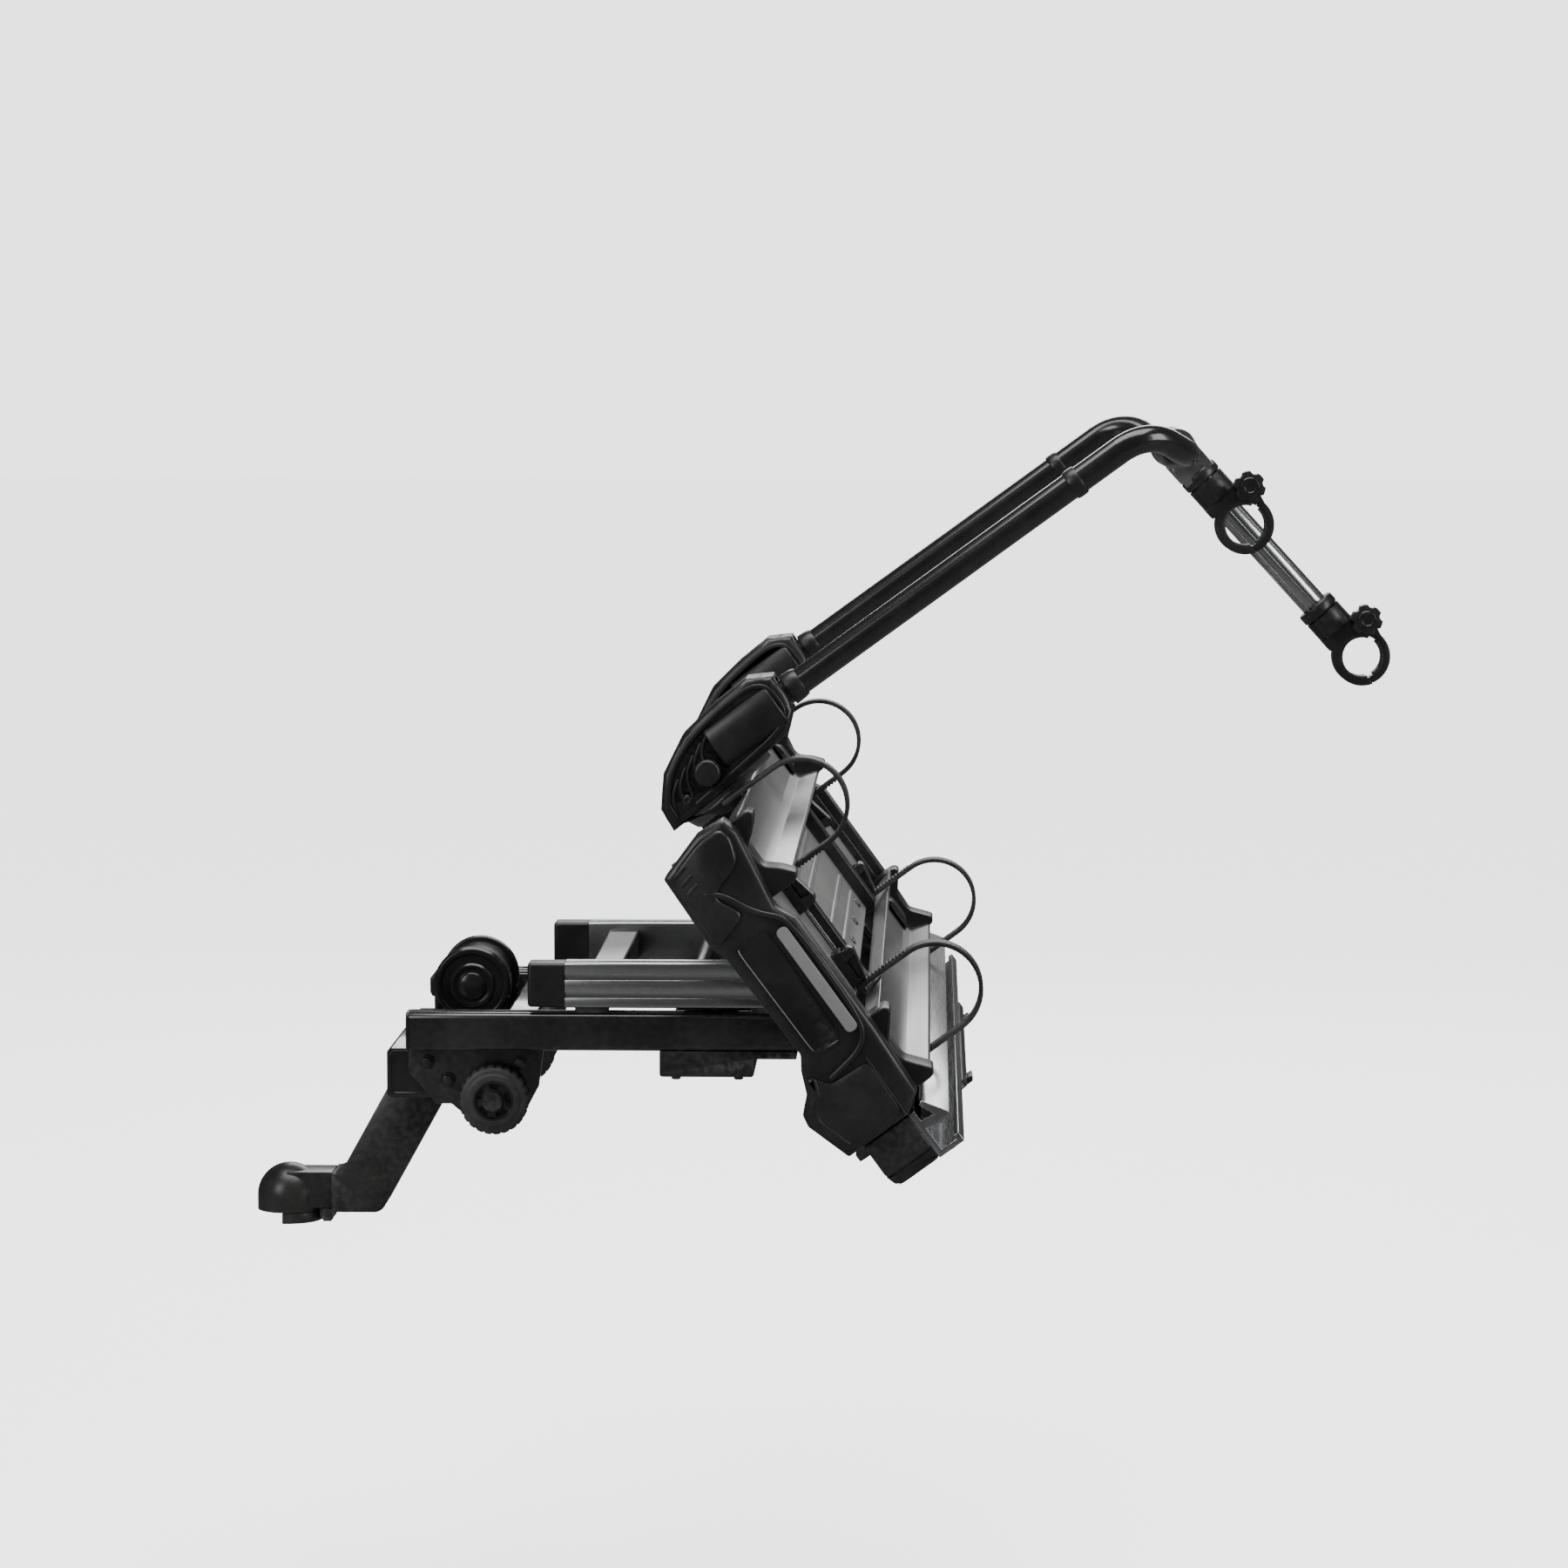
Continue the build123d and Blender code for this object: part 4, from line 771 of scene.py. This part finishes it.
for label, side, toward in (("left", -1, "-y"), ("right", 1, "+y")):
    bracket = outline_plate(eased([(-30, 84), (-27, 112), (-16, 113), (-12, 86), (-2, 50), (0, 20), (-16, 12),
                                   (-26, 44)], 0.2), side * 281.5, side * 286.3, [(3, 0.6)], 0.5)
    finish_piece(bracket, f"hinge_bracket_{label}", "deck", "tray_aluminium", DECK)
    fin_outline = eased([(-21, 2), (-15, 24), (-12, 46), (-16, 70), (2, 74), (0, 48), (-9, 38), (-14, 16)],
                        0.25)
    fin = outline_plate(fin_outline, side * 322, side * 329, [(2, 0.8)], 1.2)
    finish_piece(fin, f"boot_fin_{label}", "deck", "black_plastic", DECK)
    grip = turned([(0, 3), (12.4, 3), (13, 4.5), (13, 14), (11.5, 16.5), (8, 17), (7, 16), (0, 16)], 36, 0)
    make_active(grip)
    bpy.ops.object.mode_set(mode="EDIT")

    def in_flute(centre, normal):
        turn = math.degrees(math.atan2(centre.z, centre.x))
        return round(turn / 10) % 3 == 0 and math.hypot(centre.x, centre.z) > 12
    pick_faces(grip, in_flute)
    bpy.ops.mesh.inset(thickness=0.0002, depth=-0.0012)
    bpy.ops.object.mode_set(mode="OBJECT")
    soften(grip, 0.0004, 2, 35)
    grip.matrix_world = at(-40, side * (332.5 - 16), 60) @ TOWARD[toward]
    knob = f"fold_knob_{label}"
    finish_piece(grip, f"{knob}_grip", knob, "black_plastic", DECK)
    collar = turned([(12.6, 0), (15, 0), (15.2, 2), (14.8, 10), (13.6, 15), (12.6, 15)], 40, 0.4)
    collar.matrix_world = at(-56, side * 300, 160) @ TOWARD["+z"]
    finish_piece(collar, f"leg_collar_{label}", "upright", "black_plastic", DECK)
    ring = turned([(12.55, -6), (13.6, -6), (14.2, -3), (14.2, 3), (13.6, 6), (12.55, 6)], 40, 0.3)
    ring.matrix_world = at(-56, side * 300, 480) @ TOWARD["+z"]
    finish_piece(ring, f"leg_ring_{label}", "upright", "black_plastic", DECK)

# ---------------------------------------------------------------- deck details

for label, side in (("left", -1), ("right", 1)):
    strip = outline_plate([(84, 55), (190, 55), (190, 58), (84, 58)], side * 294, side * 309.2, (), 0.4)
    finish_piece(strip, f"deck_bar_strip_{label}", "deck", "silver_aluminium", DECK)

for index, u in enumerate((96, 116, 153, 173), 1):
    rib = outline_plate(eased([(u - 4, 53.8), (u - 2.2, 55.4), (u + 2.2, 55.4), (u + 4, 53.8)], 0.2),
                        -250, 250, (), 0.5)
    finish_piece(rib, f"panel_rib_{index}", "deck", "panel_grey", DECK)

for label, side in (("left", -1), ("right", 1)):
    for tray, u, facing in (("front", 32, 1), ("rear", 237, -1)):
        outer = u + facing * (39.5 + 4)
        tip = outer + facing * 1.4
        comb = outline_plate([(outer, 62), (tip, 63), (tip, 64.4), (outer, 65)],
                             side * 350 - 9, side * 350 + 9, (), 0.3, 1)
        apply_modifier(comb, "ARRAY", count=13, use_relative_offset=False, use_constant_offset=True,
                       constant_offset_displace=(0, 0, 3.8 * MM))
        finish_piece(comb, f"strap_teeth_{tray}_{label}", "deck", "strap_rubber", DECK)

# Rear lamps: framed amber, red and clear fields with upright prism ribs.
LENS_FACE = 328.0
for label, side in (("left", -1), ("right", 1)):
    for field, near, far, finish in (("amber", 540, 592, "amber_lens"), ("red", 452, 536, "lens_red"),
                                     ("clear", 398, 448, "clear_lens")):
        points = [(near + 1, 8), (far - 1, 8), (far, 10), (far, 44), (far - 1, 46), (near + 1, 46),
                  (near, 44), (near, 10)]
        panel = outline_plate(points, 0, 2.2, [(2, 0), (0.6, -0.8)], 0.4)
        ribs = [outline_plate([(y, 11), (y + 2.4, 11), (y + 2.4, 43), (y, 43)], 0.6, 1.9, (), 0.5, 2)
                for y in range(near + 5, far - 6, 5)]
        lens = joined([panel] + ribs)
        lens.matrix_world = Matrix.Translation((LENS_FACE * MM, 0, 0)) @ (
            Matrix.Rotation(-math.pi / 2, 4, "Z") if side < 0 else
            Matrix.Rotation(-math.pi / 2, 4, "Z") @ Matrix.Scale(-1, 4, (1, 0, 0)))
        make_active(lens)
        bpy.ops.object.transform_apply(location=True, rotation=True, scale=True)
        bpy.ops.object.mode_set(mode="EDIT")
        bpy.ops.mesh.select_all(action="SELECT")
        bpy.ops.mesh.normals_make_consistent(inside=False)
        bpy.ops.object.mode_set(mode="OBJECT")
        finish_piece(lens, f"lamp_{field}_{label}", "deck", finish, DECK)
    end = outline_plate(eased([(316, 3), (326, 6), (329.5, 12), (329.5, 50), (316, 50)], 0.15), side * 596,
                        side * 600, [(3, 0.5)], 0.8)
    finish_piece(end, f"lamp_end_{label}", "deck", "black_plastic", DECK)
    for level, points in (("low", [(337, -50), (343, -48), (343, -36), (338, -34)]),
                          ("high", [(337, 66), (343, 68), (343, 80), (338, 82)])):
        clip = outline_plate(eased(points, 0.2), side * 180, side * 214, (), 0.6)
        finish_piece(clip, f"plate_clip_{level}_{label}", "deck", "black_plastic", DECK)


# ---------------------------------------------------------------- bike arms

def fluted_tube(length):
    """A round tube with shallow grooves along it, on the local X axis."""
    deselect_all()
    bpy.ops.mesh.primitive_cylinder_add(vertices=72, radius=13 * MM, depth=length * MM,
                                        location=(length / 2 * MM, 0, 0), rotation=(0, math.pi / 2, 0))
    piece = bpy.context.object
    bpy.ops.object.transform_apply(location=True, rotation=True, scale=True)
    bpy.ops.object.mode_set(mode="EDIT")

    def in_groove(centre, normal):
        return abs(normal.x) < 0.1 and math.degrees(math.atan2(centre.y, centre.z)) % 45 < 9
    pick_faces(piece, in_groove)
    bpy.ops.mesh.inset(thickness=0.0003, depth=-0.0009)
    bpy.ops.object.mode_set(mode="OBJECT")
    soften(piece, 0.0003, 2, 25)
    return piece


ARM_START = 20.5
for arm, y, length in (("long", 45, 240), ("short", -45, 62)):
    axes = arm_frame(arm)
    node = f"arm_tube_{arm}"
    tube = fluted_tube(length - ARM_START)
    tube.matrix_world = at(ARM_START, 0, 0)
    finish_piece(tube, f"{node}_shell", f"arm_{arm}", "arm_silver", axes)
    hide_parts(node)
    collar = turned([(13.1, 0), (18.6, 0), (19.4, 1.4), (19.4, 9), (18, 11), (13.1, 11)], 48, 0.5)
    collar.matrix_world = at(length - 31.8, 0, 0) @ TOWARD["+x"]
    finish_piece(collar, f"arm_collar_{arm}", f"arm_{arm}", "black_plastic", axes)
    claw = length + 36
    for body, low, high in ((f"arm_head_{arm}", 120, 332), (f"arm_jaw_{arm}", -10, 96)):
        turns = [math.radians(low + (high - low) * step / 16) for step in range(17)]
        path = [(claw + 20.2 * math.cos(turn), 20.2 * math.sin(turn)) for turn in turns]
        width = 14.5 if "head" in body else 7.6
        pad = outline_plate(band(path, 2.6), -width, width, (), 0.6)
        finish_piece(pad, f"{body}_pad", body, "strap_rubber", axes)
    cap = turned([(0, -0.5), (9.5, -0.5), (9.5, 1.6), (8.4, 2.8), (5.6, 3.0), (4.8, 2.0), (0, 2.0)], 40, 0.3)
    cap.matrix_world = at(claw - 25, -32, 27) @ TOWARD["-y"]
    finish_piece(cap, f"arm_knob_{arm}_cap", f"arm_knob_{arm}", "gloss_plastic", axes)

# ---------------------------------------------------------------- stage, light and camera

STATION = Vector((0.625, -4.63, 0.828))
AIM = Vector((0.485, 0.0, 0.405))
FLOOR_Z = -0.40
# The floor's tone, how much paler the camera sees it, and how dark it is in reflections.
FLOOR_TONE, FLOOR_LIFT, FLOOR_IN_GLOSS = 0.8, 1.8, 0.08
WORLD_FILL = 1.2
WORLD_REFLECTED = 0.1

bpy.ops.mesh.primitive_plane_add(size=80, location=(0, 0, FLOOR_Z))
floor = bpy.context.object
floor.name = "studio_floor"
floor_material, floor_tree, floor_shader = new_material("Pale studio floor", Roughness=0.65)
floor_path = add_node(floor_tree, "ShaderNodeLightPath")
floor_tint = add_node(floor_tree, "ShaderNodeMapRange", {"Value": floor_path.outputs["Is Glossy Ray"],
                                                         "To Min": FLOOR_TONE, "To Max": FLOOR_IN_GLOSS})
floor_lift = add_node(floor_tree, "ShaderNodeMath", {0: floor_path.outputs["Is Camera Ray"], 1: FLOOR_LIFT})
floor_lift.operation = "MULTIPLY"
floor_tree.links.new(floor_tint.outputs[0], floor_shader.inputs["Base Color"])
floor_shader.inputs["Emission Color"].default_value = rgba(1.0)
floor_tree.links.new(floor_lift.outputs[0], floor_shader.inputs["Emission Strength"])
floor.data.materials.append(floor_material)

world = bpy.data.worlds.new("Studio")
world.use_nodes = True
sky = world.node_tree
path = add_node(sky, "ShaderNodeLightPath")
strength = add_node(sky, "ShaderNodeMapRange", {"Value": path.outputs["Is Glossy Ray"], "To Min": WORLD_FILL,
                                                "To Max": WORLD_REFLECTED})
strength = add_node(sky, "ShaderNodeMapRange", {"Value": path.outputs["Is Camera Ray"],
                                                "To Min": strength.outputs[0],
                                                "To Max": FLOOR_TONE * WORLD_FILL + FLOOR_LIFT})
sky.nodes["Background"].inputs["Color"].default_value = rgba(1.0)
sky.links.new(strength.outputs[0], sky.nodes["Background"].inputs["Strength"])
bpy.context.scene.world = world


def softbox(name, place, aim, width, height, power):
    """A rectangular area light that points at a place."""
    data = bpy.data.lights.new(name, "AREA")
    data.shape = "RECTANGLE"
    data.size, data.size_y, data.energy = width, height, power
    light = bpy.data.objects.new(name, data)
    bpy.context.scene.collection.objects.link(light)
    light.location = place
    light.rotation_euler = (Vector(aim) - Vector(place)).to_track_quat("-Z", "Y").to_euler()


softbox("overhead_box", (0.4, -0.6, 3.4), (0.45, 0, 0.4), 3.2, 2.0, 120)
softbox("front_box", (-2.6, -3.6, 2.2), (0.45, 0, 0.4), 1.6, 2.4, 70)
softbox("side_box", (3.6, -1.8, 1.6), (0.45, 0, 0.4), 1.2, 2.4, 60)
softbox("back_box", (0.8, 4.0, 2.4), (0.45, 0, 0.4), 3.0, 1.6, 80)

camera_data = bpy.data.cameras.new("camera")
camera_data.sensor_width = 36.0
camera_data.lens = 110.0
camera = bpy.data.objects.new("camera", camera_data)
bpy.context.scene.collection.objects.link(camera)
camera.location = STATION
camera.rotation_euler = (AIM - STATION).to_track_quat("-Z", "Y").to_euler()
bpy.context.scene.camera = camera
